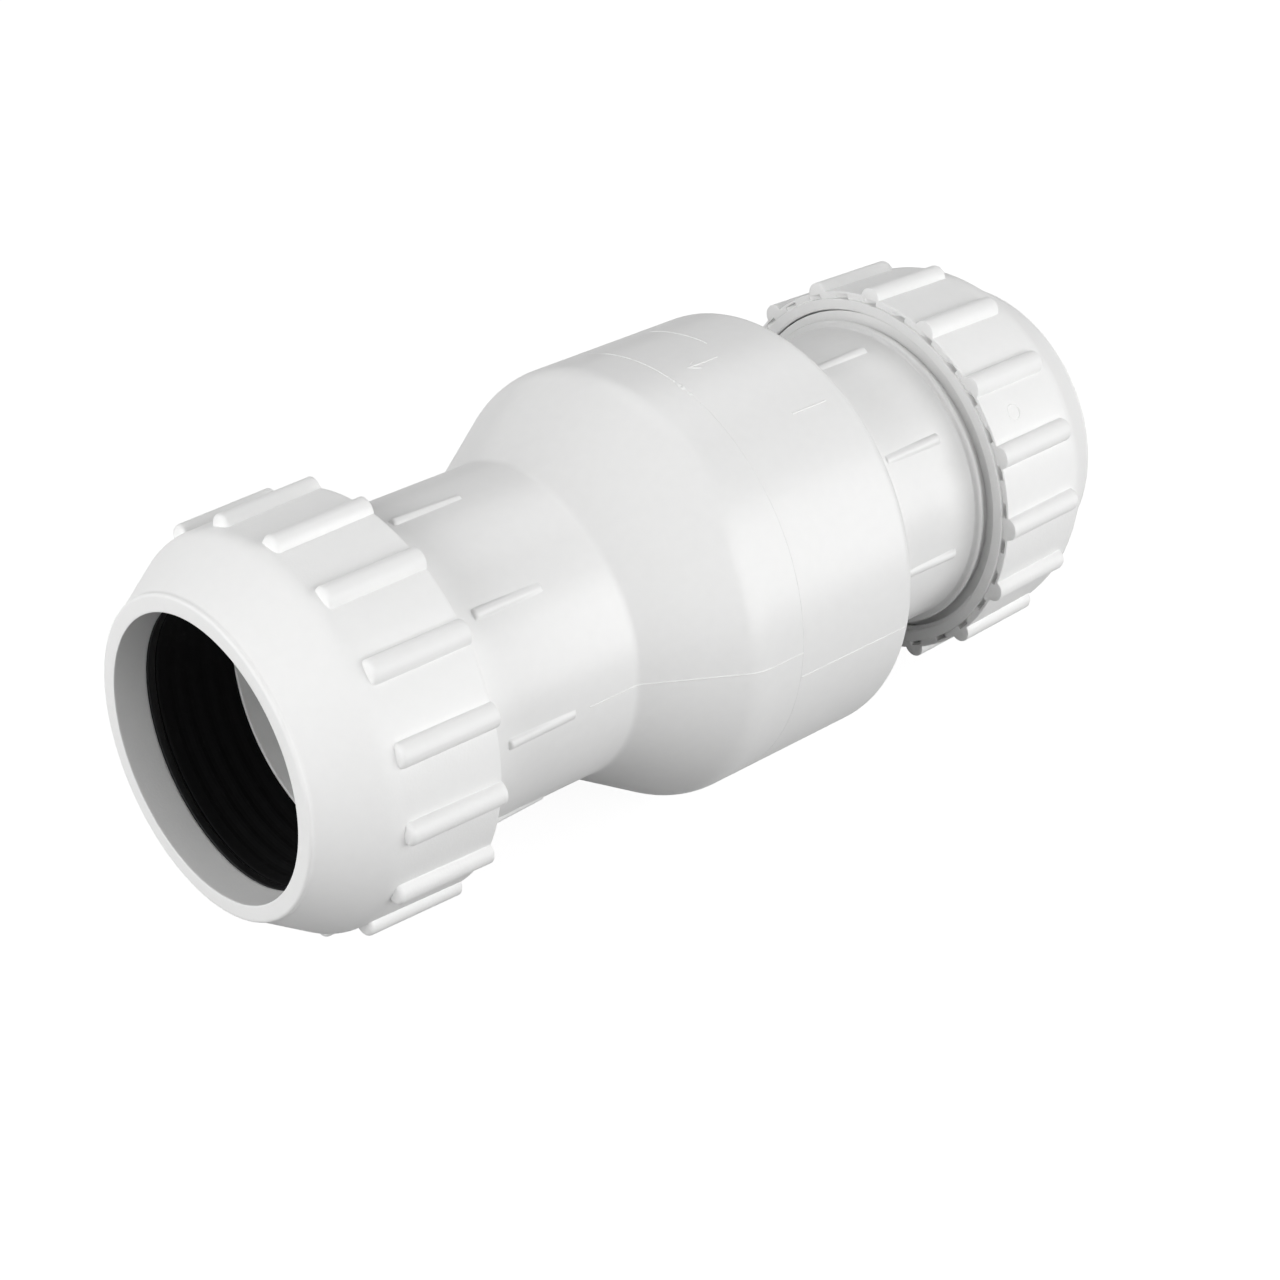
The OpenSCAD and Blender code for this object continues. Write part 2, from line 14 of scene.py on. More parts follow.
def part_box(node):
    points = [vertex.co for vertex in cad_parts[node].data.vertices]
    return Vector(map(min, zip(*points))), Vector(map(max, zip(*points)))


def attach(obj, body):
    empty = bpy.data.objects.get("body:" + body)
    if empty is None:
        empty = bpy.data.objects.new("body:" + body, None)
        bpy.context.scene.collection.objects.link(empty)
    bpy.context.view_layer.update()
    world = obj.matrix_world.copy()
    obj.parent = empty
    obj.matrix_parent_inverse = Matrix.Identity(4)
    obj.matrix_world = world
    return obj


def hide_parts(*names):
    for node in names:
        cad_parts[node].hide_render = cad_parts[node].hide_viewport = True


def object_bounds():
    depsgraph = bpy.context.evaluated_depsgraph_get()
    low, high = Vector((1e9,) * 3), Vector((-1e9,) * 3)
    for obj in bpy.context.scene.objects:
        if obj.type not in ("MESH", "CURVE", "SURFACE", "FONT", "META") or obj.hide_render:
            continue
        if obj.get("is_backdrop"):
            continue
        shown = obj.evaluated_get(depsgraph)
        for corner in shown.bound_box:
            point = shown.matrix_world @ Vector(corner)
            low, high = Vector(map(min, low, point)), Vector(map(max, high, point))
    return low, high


bl_info = {
    "name": "Swing non-return valve",
    "version": (1, 0, 0),
    "blender": (4, 5, 0),
    "location": "3D View > Sidebar > Check valve",
    "description": "Builds a plastic swing non-return valve with ribbed compression nuts",
    "category": "Add Mesh",
}

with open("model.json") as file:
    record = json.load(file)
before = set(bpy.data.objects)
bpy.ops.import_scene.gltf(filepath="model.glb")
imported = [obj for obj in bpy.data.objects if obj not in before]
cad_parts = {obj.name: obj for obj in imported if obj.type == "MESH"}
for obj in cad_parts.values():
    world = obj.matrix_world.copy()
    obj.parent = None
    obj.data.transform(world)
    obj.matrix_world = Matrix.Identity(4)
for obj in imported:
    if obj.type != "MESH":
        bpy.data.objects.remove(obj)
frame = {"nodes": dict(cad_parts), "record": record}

MM = 0.001
SHARP_EDGE = math.radians(42)
WELD_DISTANCE = 0.002 * MM

# A side of an outline that is longer than its two roundings by LONG_SIDE gets a row EDGE_ROW beside each of
# them, so that it is shaded flat
LONG_SIDE = 1.5 * MM
EDGE_ROW = 0.3 * MM

# Rows of a nut's side: over the shoulder, in millimetres from the face, about the ribs' front ends, in
# millimetres from them, and along a rib, as shares of its length
SHOULDER_ROWS = (2.0, 3.5, 5.0, 6.5, 8.0, 9.2, 9.9, 10.4, 10.9, 11.4, 11.9, 12.3, 12.6)
RIB_END_ROWS = (-0.3, -0.14, -0.05, 0.0, 0.05, 0.14, 0.28, 0.45, 0.65, 0.85, 1.3, 2.2)
RIB_ROWS = (0.2, 0.34, 0.48, 0.62, 0.76, 0.9, 0.97)

# Columns beside the middle of a nut's rib and of a socket's thin rib, in millimetres
RIB_COLUMNS = (0, 0.4, 0.8, 1.15, 1.42, 1.65, 1.82, 1.95, 2.04, 2.1, 2.15, 2.2, 2.28, 2.4, 2.7, 3.3, 4.2,
               5.4, 6.7)
THIN_RIB_COLUMNS = (0.22, 0.45, 0.65, 0.8, 0.92, 1.0, 1.07, 1.15, 1.3)

# Rows of a thin rib: about each of its ends, in millimetres, and between them, as shares of its length
THIN_RIB_END_ROWS = (-0.25, -0.08, 0.0, 0.06, 0.14, 0.26, 0.42, 0.62, 0.85, 1.1, 1.5)
THIN_RIB_ROWS = (0.2, 0.35, 0.5, 0.65, 0.8)

# Slopes that carry a rib's surface on below the wall that it stands on
RIB_DROP = 8
THIN_RIB_DROP = 6

# Size of the slow mottling of the plastics, and how much it changes their roughness
MOTTLE_SIZE = 520.0
UNEVEN_SHEEN = 0.08

# Each lamp's name, angle in degrees round the object from +X, angle above the horizon, width and height in
# metres, and strength
LAMPS = (("Key", -72, 18, 1.1, 0.8, 2.85), ("Left", 170, 15, 1.05, 0.7, 3.2), ("Top", 50, 58, 0.7, 0.6, 1.5))
LAMP_DISTANCE = 0.8

OUTLET_FACE, OUTLET_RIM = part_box("outlet_nut")[0].x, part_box("outlet_nut")[1].x
INLET_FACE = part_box("inlet_nut")[1].x
PIPE_BORE = frame["record"]["mounts"][0]["dims"]["r_mm"] * MM
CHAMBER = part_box("inlet_housing")[1].y
NUT_LENGTH = OUTLET_RIM - OUTLET_FACE


def length(name, default, description):
    """A size in metres, given in millimetres."""
    return bpy.props.FloatProperty(name=name, default=default * MM, description=description,
                                   unit="LENGTH", precision=5, min=0)


def angle(name, default, description):
    """An angle in radians, given in degrees."""
    return bpy.props.FloatProperty(name=name, default=math.radians(default), description=description,
                                   subtype="ANGLE")


def colour(name, default, description):
    """A linear colour."""
    return bpy.props.FloatVectorProperty(name=name, default=default, description=description,
                                         subtype="COLOR", size=3, min=0, max=1)


def amount(name, default, description):
    """A plain factor."""
    return bpy.props.FloatProperty(name=name, default=default, description=description, min=0)


def count(name, default, description):
    """A whole number."""
    return bpy.props.IntProperty(name=name, default=default, description=description, min=1)


class NutSizes(bpy.types.PropertyGroup):
    """Sizes of a compression nut"""
    bore: length("Bore", 24.6, "Radius of the hole for the pipe")
    face_width: length("Face width", 3.1, "Width of the flat ring round the hole")
    face_height: length("Face height", 0.9, "Height of that ring in front of the cone")
    cone_angle: angle("Cone angle", 33, "Slope of the front cone from the pipe axis")
    blend: length("Shoulder", 5, "Radius that blends the cone into the side")
    side: length("Side", 34.35, "Radius of the side at the shoulder")
    rim: length("Rim", 35.0, "Radius of the side at the rim")
    lip: length("Lip", 6.4, "Thickness of the lip that holds the slip ring")
    seat: length("Seat", 28.41, "Radius of the seat behind the lip")
    thread: length("Thread", 31.55, "Radius of the root of the inside thread")
    ring: length("Rim ring", 33.65, "Outer radius of the raised ring on the rim")
    rim_step: length("Rim step", 0.4, "How far the raised ring stands out")
    rim_chamfer: length("Rim chamfer", 0.25, "Chamfer inside the raised ring")
    rim_edge: length("Rim edge", 0.16, "Rounding of the rim's outer edge")
    ribs: count("Ribs", 16, "Number of grip ribs, an even one")
    rib_rod: length("Rib rod", 2.15, "Radius of the rod that shapes a rib")
    rib_rise: length("Rib rise", 1.95, "How far a rib stands out")
    rib_length: length("Rib length", 18.6, "Length of a rib")
    rib_end: length("Rib end", 0.8, "Rounding of a rib's front end")
    rib_fillet: length("Rib fillet", 0.28, "Fillet along a rib's foot")
    pockets: count("Pockets", 30, "Number of pockets in the rim, an even one")
    pocket_angle: angle("Pocket angle", 5, "Angle that one rim pocket spans")
    pocket_depth: length("Pocket depth", 2.2, "Depth of a rim pocket at its deep end")
    pocket_width: length("Pocket width", 0.85, "Width of a pocket along a radius")
    pocket_least: length("Pocket least depth", 0.14, "Depth of a rim pocket at its shallow end")
    pocket_gap: length("Pocket gap", 0.03, "Distance from the raised ring to a pocket")
    pocket_edge: length("Pocket edge", 0.05, "Chamfer at a pocket's outer edge")
    groove_depth: length("Groove depth", 0.12, "Depth of the groove between the pockets")
    outlet_turn: angle("Outlet nut turn", 19.8, "Turn of the outlet nut about the pipe axis")
    inlet_turn: angle("Inlet nut turn", 9.7, "Turn of the inlet nut about the pipe axis")


class HousingSizes(bpy.types.PropertyGroup):
    """Sizes of the two welded housings"""
    socket: length("Socket", 28.45, "Outside radius of a pipe socket")
    flow: length("Flow passage", 20.4, "Radius of the passage between the pipe stops")
    mouth: length("Mouth", 27.5, "Radius of the pocket for the gasket")
    mouth_at: length("Mouth at", 10.7, "Distance from the nut's face to the socket's mouth")
    mouth_chamfer: length("Mouth chamfer", 0.8, "Chamfer outside the socket's mouth")
    gasket_end: length("Gasket end", 23.5, "Distance from the nut's face to the gasket's foot")
    stop_at: length("Pipe stop at", 59.5, "Distance from the nut's face to the pipe stop")
    thread_root: length("Thread root", 29.15, "Radius of the root of the outside thread")
    bead: length("Bead", 0.62, "Radius of the bead that ends the thread")
    bead_rise: length("Bead rise", 0.62, "Height of the bead above the root of the thread")
    bead_at: length("Bead at", 32.68, "Distance from the nut's face to the bead's middle")
    bead_foot: length("Bead foot", 0.35, "Radius of the hollow corner behind the bead")
    cone_foot: length("Cone foot", 25.0, "Distance from the origin to the cone's foot, towards the outlet")
    cone_angle: angle("Cone angle", 31, "Slope of the cone from the pipe axis")
    cone_blend: length("Cone blend", 8, "Radius that blends the cone into the chamber")
    foot_blend: length("Foot blend", 2.5, "Radius of the hollow corner where the cone meets the socket")
    foot_wall: length("Foot wall", 4.6, "Thickness of the wall at the cone's foot")
    joint: length("Joint", 2.8, "Distance from the origin to the joint line, towards the inlet")
    joint_chamfer: length("Joint chamfer", 0.045, "Chamfer on each side of the joint line")
    rear: length("Chamber rear", 30.4, "Distance from the origin to the chamber's rear face")
    rear_wall: length("Rear wall", 3.1, "Thickness of the chamber's rear wall")
    rear_edge: length("Rear edge", 1.9, "Rounding of the chamber's rear edge")
    spigot: length("Spigot", 35.9, "Outside radius of the outlet housing's spigot")
    chamber_inside: length("Chamber inside", 33.0, "Inside radius of the spigot")
    chamber_bore: length("Chamber bore", 36.0, "Inside radius of the inlet housing")
    carrier_face: length("Carrier face", 23.3, "Distance from the origin to the seat carrier's flange")
    ribs: count("Ribs", 8, "Number of thin ribs round a socket")
    rib_rod: length("Rib rod", 1.1, "Radius of the rod that shapes a thin rib")
    rib_rise: length("Rib rise", 0.75, "Height of a thin rib at its end near the nut")
    rib_fall: length("Rib fall", 0.45, "How much lower a thin rib is at its far end")
    rib_fillet: length("Rib fillet", 0.15, "Fillet along a thin rib's foot")
    rib_near_end: length("Rib near end", 0.7, "Rounding of a thin rib's end near the nut")
    rib_far_end: length("Rib far end", 0.25, "Rounding of a thin rib's far end")
    outlet_rib_at: length("Outlet ribs at", 38.7, "Distance from the outlet nut's face to the ribs")
    outlet_rib_length: length("Outlet rib length", 14.2, "Length of the outlet socket's ribs")
    inlet_rib_at: length("Inlet ribs at", 38.0, "Distance from the inlet nut's face to the ribs")
    inlet_rib_length: length("Inlet rib length", 13.6, "Length of the inlet socket's ribs")
    outlet_turn: angle("Outlet housing turn", 7.2, "Turn of the outlet housing against the inlet housing")


class ThreadSizes(bpy.types.PropertyGroup):
    """Sizes of the moulded threads between a nut and its socket"""
    lead: length("Lead", 4.0, "Advance of the thread in one turn")
    socket_height: length("Socket height", 2.1, "Height of a socket's thread")
    nut_height: length("Nut height", 1.55, "Height of a nut's thread")
    base: length("Base width", 1.9, "Width of a thread at its root")
    crest: length("Crest width", 0.6, "Width of a thread at its crest")
    offset: length("Offset", 1.8, "Distance from the nut's thread to the socket's at the same angle")
    sink: length("Sink", 0.2, "How far a thread reaches into its wall")
    socket_turns: amount("Socket turns", 4.91, "Turns of thread on a socket")
    socket_end: length("Socket end", 31.74, "Distance from the nut's face to the socket thread's last turn")
    nut_turns: amount("Nut turns", 4.2, "Turns of thread in a nut")
    nut_end: length("Nut end", 31.35, "Distance from the nut's face to the blunt end of its thread")
    nut_start: angle("Nut start", -121.7, "Angle of that blunt end from the middle of a rib")
    start_size: amount("Start size", 0.05, "Size of a thread at its start, as a share of its full size")
    socket_end_size: amount("Socket end size", 0.05, "Size of a socket's thread at its end, as a share")
    socket_taper: amount("Socket taper", 0.017, "Share of a socket's thread that tapers at each end")
    nut_end_size: amount("Nut end size", 0.25, "Size of a nut's thread at its blunt end, as a share")
    nut_taper: amount("Nut taper", 0.08, "Share of a nut's thread that tapers at each end")


class SealSizes(bpy.types.PropertyGroup):
    """Sizes of the gaskets, the slip rings and the seal behind the seat"""
    ring_at: length("Slip ring at", 6.5, "Distance from the nut's face to the slip ring")
    ring_length: length("Slip ring length", 1.6, "Length of a slip ring")
    ring_bore: length("Slip ring bore", 24.6, "Inside radius of a slip ring")
    ring_side: length("Slip ring side", 28.31, "Outside radius of a slip ring")
    gasket_at: length("Gasket at", 8.2, "Distance from the nut's face to the gasket")
    gasket_foot: length("Gasket foot", 23.47, "Distance from the nut's face to the gasket's foot")
    gasket_bore: length("Gasket bore", 24.57, "Inside radius of a gasket")
    gasket_side: length("Gasket side", 27.47, "Outside radius of a gasket")
    lips: count("Lips", 4, "Number of sealing lips in a gasket's bore")
    groove: length("Groove", 0.15, "Depth of the grooves between the lips")
    seal_at: length("Seal at", 26.215, "Distance from the origin to the middle of the seal behind the seat")
    seal_ring: length("Seal ring", 29.8176, "Radius of the circle that the seal's middle runs on")
    seal_cord: length("Seal cord", 1.07, "Radius of the seal's cord")


class FlapperSizes(bpy.types.PropertyGroup):
    """Sizes of the flapper's pieces, with heights above the seat in the flow's direction, and of the hinge"""
    seat_at: length("Seat at", 17.4762, "Distance from the origin to the middle of the seat")
    seat_tilt: angle("Seat tilt", 78, "Tilt of the seat's axis from straight up")
    hole: length("Hole", 2.03, "Radius of the hole for the screw")
    facing_at: length("Facing at", 0.15, "Height of the facing's closing side")
    facing_top: length("Facing top", 2.55, "Height of the facing's other side")
    facing: length("Facing", 22.7605, "Radius of the facing")
    retainer: length("Retainer", 16.0353, "Radius of the facing's retainer")
    retainer_thickness: length("Retainer thickness", 1.2, "Thickness of the facing's retainer")
    head: length("Screw head", 3.6, "Radius of the screw's head")
    head_height: length("Screw head height", 2.2, "Height of the screw's head")
    recess: length("Recess", 1.45, "Half the width across the flats of the hexagon recess")
    recess_depth: length("Recess depth", 1.35, "Depth of the hexagon recess")
    screw: length("Screw", 1.99, "Radius of the screw")
    screw_root: length("Thread root", 1.7, "Radius of the root of the screw's thread")
    screw_lead: length("Screw lead", 0.8, "Lead of the screw's thread")
    shank: length("Shank", 5.95, "Height at which the screw's plain shank ends")
    screw_end: length("Screw end", 12.95, "Height of the screw's end")
    washer_at: length("Washer at", 7.95, "Height of the washer's underside")
    washer_top: length("Washer top", 8.75, "Height of the washer's top")
    washer: length("Washer", 5.04, "Radius of the washer")
    nut_flats: length("Nut flats", 3.5, "Half the width across the nut's flats")
    nut_top: length("Nut top", 11.95, "Height of the nut's top")
    hinge_x: length("Hinge along", 18.6915, "Distance from the origin to the hinge, towards the inlet")
    hinge_z: length("Hinge height", 26.64, "Height of the hinge above the pipe axis")
    pin: length("Pin", 1.6, "Radius of the hinge pin")
    pin_head: length("Pin head", 2.4, "Radius of the pin's head")
    pin_head_at: length("Pin head at", 9.6, "Distance from the middle to the underside of the pin's head")
    pin_head_end: length("Pin head end", 10.72, "Distance from the middle to the end of the pin's head")
    pin_end: length("Pin end", 11.1, "Distance from the middle to the pin's other end")
    clip_bore: length("Clip bore", 1.63, "Inside radius of the pin's clip")
    clip: length("Clip", 2.72, "Outside radius of the pin's clip")
    clip_thickness: length("Clip thickness", 0.72, "Thickness of the pin's clip")
    clip_gap: angle("Clip gap", 50, "Angle that the clip's opening spans")
    edge: length("Moulded edge", 0.25, "Rounding of the edges of the plate and the seat carrier")


class MarkSizes(bpy.types.PropertyGroup):
    """Fine raised lines and marks that the moulds leave"""
    line: length("Line", 0.17, "Radius of a raised line")
    line_rise: length("Line rise", 0.12, "Height of a raised line")
    uneven: amount("Unevenness", 0.3, "Unevenness of a raised line")
    outlet_seam: length("Outlet parting line", 35.5, "Distance from the origin to the parting line's start")
    ring_line: length("Ring line", 16.8, "Distance from the origin to the fine line round the chamber")
    ring_start: angle("Ring line start", 118, "Clock angle of the ring line's far end")
    ring_end: angle("Ring line end", 97, "Clock angle of the ring line's near end")
    ring_sink: length("Ring line sink", 0.04, "How much deeper the ring line sits than the parting lines")
    weld_sink: length("Weld line sink", 0.03, "How much deeper the weld line sits than the parting lines")
    weld_start: angle("Weld line start", 112, "Clock angle of the weld line's far end")
    weld_end: angle("Weld line end", 89, "Clock angle at which the weld line turns into beads")
    beads_end: angle("Weld beads end", 77, "Clock angle at which the weld beads end")
    bead_size: amount("Weld bead size", 2.4, "Radius of the weld beads, as a share of a line's radius")
    bead_sink: amount("Weld bead sink", 1.9, "Depth of the weld beads' middle, as a share of a line's radius")
    bead_uneven: amount("Weld bead unevenness", 3.5, "Unevenness of the weld beads")
    short_start: length("Short line start", 17, "Distance from the origin to the short line's near end")
    short_end: length("Short line end", 25, "Distance from the origin to the short line's far end")
    short_clock: angle("Short line clock", 65, "Clock angle of the short line")
    short_size: amount("Short line size", 1.15, "Radius of the short line, as a share of a line's radius")
    arrow_at: length("Arrow at", 7.8, "Distance from the origin to the tip of the flow arrow")
    arrow_length: length("Arrow length", 6.9, "Length of the flow arrow")
    arrow_head: length("Arrow head", 2.0, "Length of the flow arrow's head")
    arrow_barb: amount("Arrow barb", 0.6, "Half the width of the arrow's head, as a share of its length")
    gate_at: length("Gate mark at", 67.0, "Distance from the origin to the gate mark on the inlet nut")
    gate_clock: angle("Gate mark clock", 43, "Clock angle of the gate mark")
    gate: length("Gate mark", 1.45, "Radius of the gate mark")
    gate_line: length("Gate mark line", 0.13, "Radius of the gate mark's raised line")
    gate_rise: amount("Gate mark rise", 0.1, "Height of that line's middle, as a share of its radius")
    gate_uneven: amount("Gate mark unevenness", 0.6, "Unevenness of the gate mark's line")


class Finishes(bpy.types.PropertyGroup):
    """Colours and sheen of the materials"""
    housing: colour("Housing", (0.86, 0.86, 0.855), "White plastic of the two housings")
    nut: colour("Nut", (0.9, 0.9, 0.895), "White plastic of the nuts")
    rubber: colour("Rubber", (0.0025, 0.0025, 0.0028), "Black rubber of the seals")
    ring: colour("Slip ring", (0.004, 0.004, 0.0044), "Black plastic of the slip rings")
    steel: colour("Steel", (0.62, 0.63, 0.65), "Stainless steel of pin and screw")
    housing_roughness: amount("Housing roughness", 0.3, "Roughness of the housings")
    nut_roughness: amount("Nut roughness", 0.5, "Roughness of the nuts")
    rubber_roughness: amount("Rubber roughness", 0.8, "Roughness of the seals")
    ring_roughness: amount("Slip ring roughness", 0.5, "Roughness of the slip rings")


class StageSettings(bpy.types.PropertyGroup):
    """Camera, floor and lamps"""
    azimuth: angle("Azimuth", -46.423, "Camera's angle round the object")
    elevation: angle("Elevation", 35.288, "Camera's angle above the horizon")
    roll: angle("Roll", 6.814, "Camera's roll")
    distance: length("Distance", 501.741, "Distance from the camera to its aim")
    aim: bpy.props.FloatVectorProperty(name="Aim", default=(-2.878 * MM, -6.518 * MM, -9.295 * MM),
                                       description="Point that the camera looks at", subtype="XYZ",
                                       unit="LENGTH")
    lens: bpy.props.FloatProperty(name="Lens", description="Focal length in millimetres", default=80.307,
                                  unit="CAMERA")
    light: amount("Light", 1.0, "Strength of the three lamps")
    surround: amount("Surround", 0.03, "Strength of the soft light from all round")


class ValveSettings(bpy.types.PropertyGroup):
    """All sizes, colours and stage settings of the valve"""
    nut: bpy.props.PointerProperty(type=NutSizes, name="Nut", description="Sizes of the nuts")
    housing: bpy.props.PointerProperty(type=HousingSizes, name="Housing", description="Sizes of the housings")
    thread: bpy.props.PointerProperty(type=ThreadSizes, name="Thread", description="Sizes of the threads")
    marks: bpy.props.PointerProperty(type=MarkSizes, name="Marks", description="Sizes of lines and marks")
    seals: bpy.props.PointerProperty(type=SealSizes, name="Seals", description="Sizes of the seals")
    flapper: bpy.props.PointerProperty(type=FlapperSizes, name="Flapper", description="Sizes of the flapper")
    finish: bpy.props.PointerProperty(type=Finishes, name="Finish", description="Colours and sheen")
    stage: bpy.props.PointerProperty(type=StageSettings, name="Stage", description="Camera, floor and lamps")


def settings():
    """The valve's settings in this file."""
    return bpy.context.scene.check_valve


def soften(corners):
    """A closed outline with its corners rounded. A corner is (along, radius from axis, rounding, steps)."""
    line = []
    for i, (a, b, rounding, steps) in enumerate(corners):
        here = Vector((a, b))
        if not steps:
            line.append(here)
            continue
        before = Vector(corners[i - 1][:2]) - here
        after = Vector(corners[(i + 1) % len(corners)][:2]) - here
        back, on = before.normalized(), after.normalized()
        half = back.angle(on) / 2
        reach = rounding / math.tan(half)
        centre = here + (back + on).normalized() * rounding / math.sin(half)
        start = here + back * reach - centre
        sweep = start.angle_signed(here + on * reach - centre)
        if before.length > 2 * reach + LONG_SIDE:
            line.append(here + back * (reach + EDGE_ROW))
        line += [centre + Matrix.Rotation(-sweep * k / steps, 2) @ start for k in range(steps + 1)]
        if after.length > 2 * reach + LONG_SIDE:
            line.append(here + on * (reach + EDGE_ROW))
    return line


def rounded_max(a, b, softness):
    """The larger of two heights, with a small fillet where they meet."""
    near = max(softness - abs(a - b), 0) / softness
    return max(a, b) + near * near * softness / 4


def add_object(name, data):
    """A new object in the scene."""
    piece = bpy.data.objects.new(name, data)
    bpy.context.scene.collection.objects.link(piece)
    return piece


def new_piece(name, points, edges, faces):
    """A mesh object from points, edges and faces, with its faces pointing out."""
    mesh = bpy.data.meshes.new(name)
    mesh.from_pydata(points, edges, faces)
    corners = ((points[f[0]], points[f[k]], points[f[k + 1]]) for f in faces for k in range(1, len(f) - 1))
    if sum(a.dot(b.cross(c)) for a, b, c in corners) < 0:
        mesh.flip_normals()
    return add_object(name, mesh)


def turned_sector(name, angles, column, open_rows=0, caps=False):
    """A sector of a turned shape about Z. column(angle) gives its outline as places along Z and radii.

    open_rows is 1 where the outline starts and ends on the axis, and caps closes the sector's two ends.
    """
    outlines = [column(a) for a in angles]
    rows = len(outlines[0])
    points = [Vector((p[1] * math.cos(a), p[1] * math.sin(a), p[0]))
              for a, outline in zip(angles, outlines) for p in outline]
    faces = [(c * rows + r, c * rows + (r + 1) % rows, (c + 1) * rows + (r + 1) % rows, (c + 1) * rows + r)
             for c in range(len(angles) - 1) for r in range(rows - open_rows)]
    if caps:
        last = (len(angles) - 1) * rows
        faces += [tuple(range(rows - 1, -1, -1)), tuple(range(last, last + rows))]
    return new_piece(name, points, [], faces)


def add_node(tree, kind, inputs=(), **options):
    """A node with its options set and its inputs linked or given a value."""
    node = tree.nodes.new(kind)
    for key, value in options.items():
        setattr(node, key, value)
    for key, value in dict(inputs).items():
        if isinstance(value, bpy.types.NodeSocket):
            tree.links.new(value, node.inputs[key])
        else:
            node.inputs[key].default_value = value
    return node


def calc(tree, operation, *values):
    """The result of a maths node on sockets or numbers."""
    return add_node(tree, "ShaderNodeMath", enumerate(values), operation=operation).outputs[0]


def geometry_tree(name, inputs):
    """A new geometry node tree with a geometry input, the named inputs and a material.

    Returns the tree and the sockets of its input node.
    """
    tree = bpy.data.node_groups.new(name, "GeometryNodeTree")
    tree.interface.new_socket("Geometry", in_out="INPUT", socket_type="NodeSocketGeometry")
    for label, kind in inputs:
        tree.interface.new_socket(label, in_out="INPUT", socket_type=kind)
    tree.interface.new_socket("Material", in_out="INPUT", socket_type="NodeSocketMaterial")
    tree.interface.new_socket("Geometry", in_out="OUTPUT", socket_type="NodeSocketGeometry")
    return tree, tree.nodes.new("NodeGroupInput").outputs


def end_tree(tree, given, geometry):
    """Ends a tree in Realize Instances and Set Material."""
    whole = add_node(tree, "GeometryNodeRealizeInstances", {"Geometry": geometry})
    smooth = add_node(tree, "GeometryNodeSetShadeSmooth", {"Geometry": whole.outputs[0]})
    dressed = add_node(tree, "GeometryNodeSetMaterial", {
        "Geometry": smooth.outputs[0], "Material": given["Material"]})
    add_node(tree, "NodeGroupOutput", {"Geometry": dressed.outputs[0]})
    return tree


def repeat_tree():
    """Repeats a sector about the Z axis and welds its seams."""
    name = "Repeat round the axis"
    if name in bpy.data.node_groups:
        return bpy.data.node_groups[name]
    tree, given = geometry_tree(name, [("Count", "NodeSocketInt"), ("Weld Distance", "NodeSocketFloat")])
    pitch = calc(tree, "DIVIDE", math.tau, given["Count"])
    turn = calc(tree, "MULTIPLY", add_node(tree, "GeometryNodeInputIndex").outputs[0], pitch)
    spots = add_node(tree, "GeometryNodeMeshLine", {"Count": given["Count"], "Offset": (0, 0, 0)})
    rotation = add_node(tree, "FunctionNodeAxisAngleToRotation", {"Axis": (0, 0, 1), "Angle": turn})
    copies = add_node(tree, "GeometryNodeInstanceOnPoints", {
        "Points": spots.outputs[0], "Instance": given["Geometry"], "Rotation": rotation.outputs[0]})
    whole = add_node(tree, "GeometryNodeRealizeInstances", {"Geometry": copies.outputs[0]})
    welded = add_node(tree, "GeometryNodeMergeByDistance", {
        "Geometry": whole.outputs[0], "Distance": given["Weld Distance"]})
    return end_tree(tree, given, welded.outputs[0])


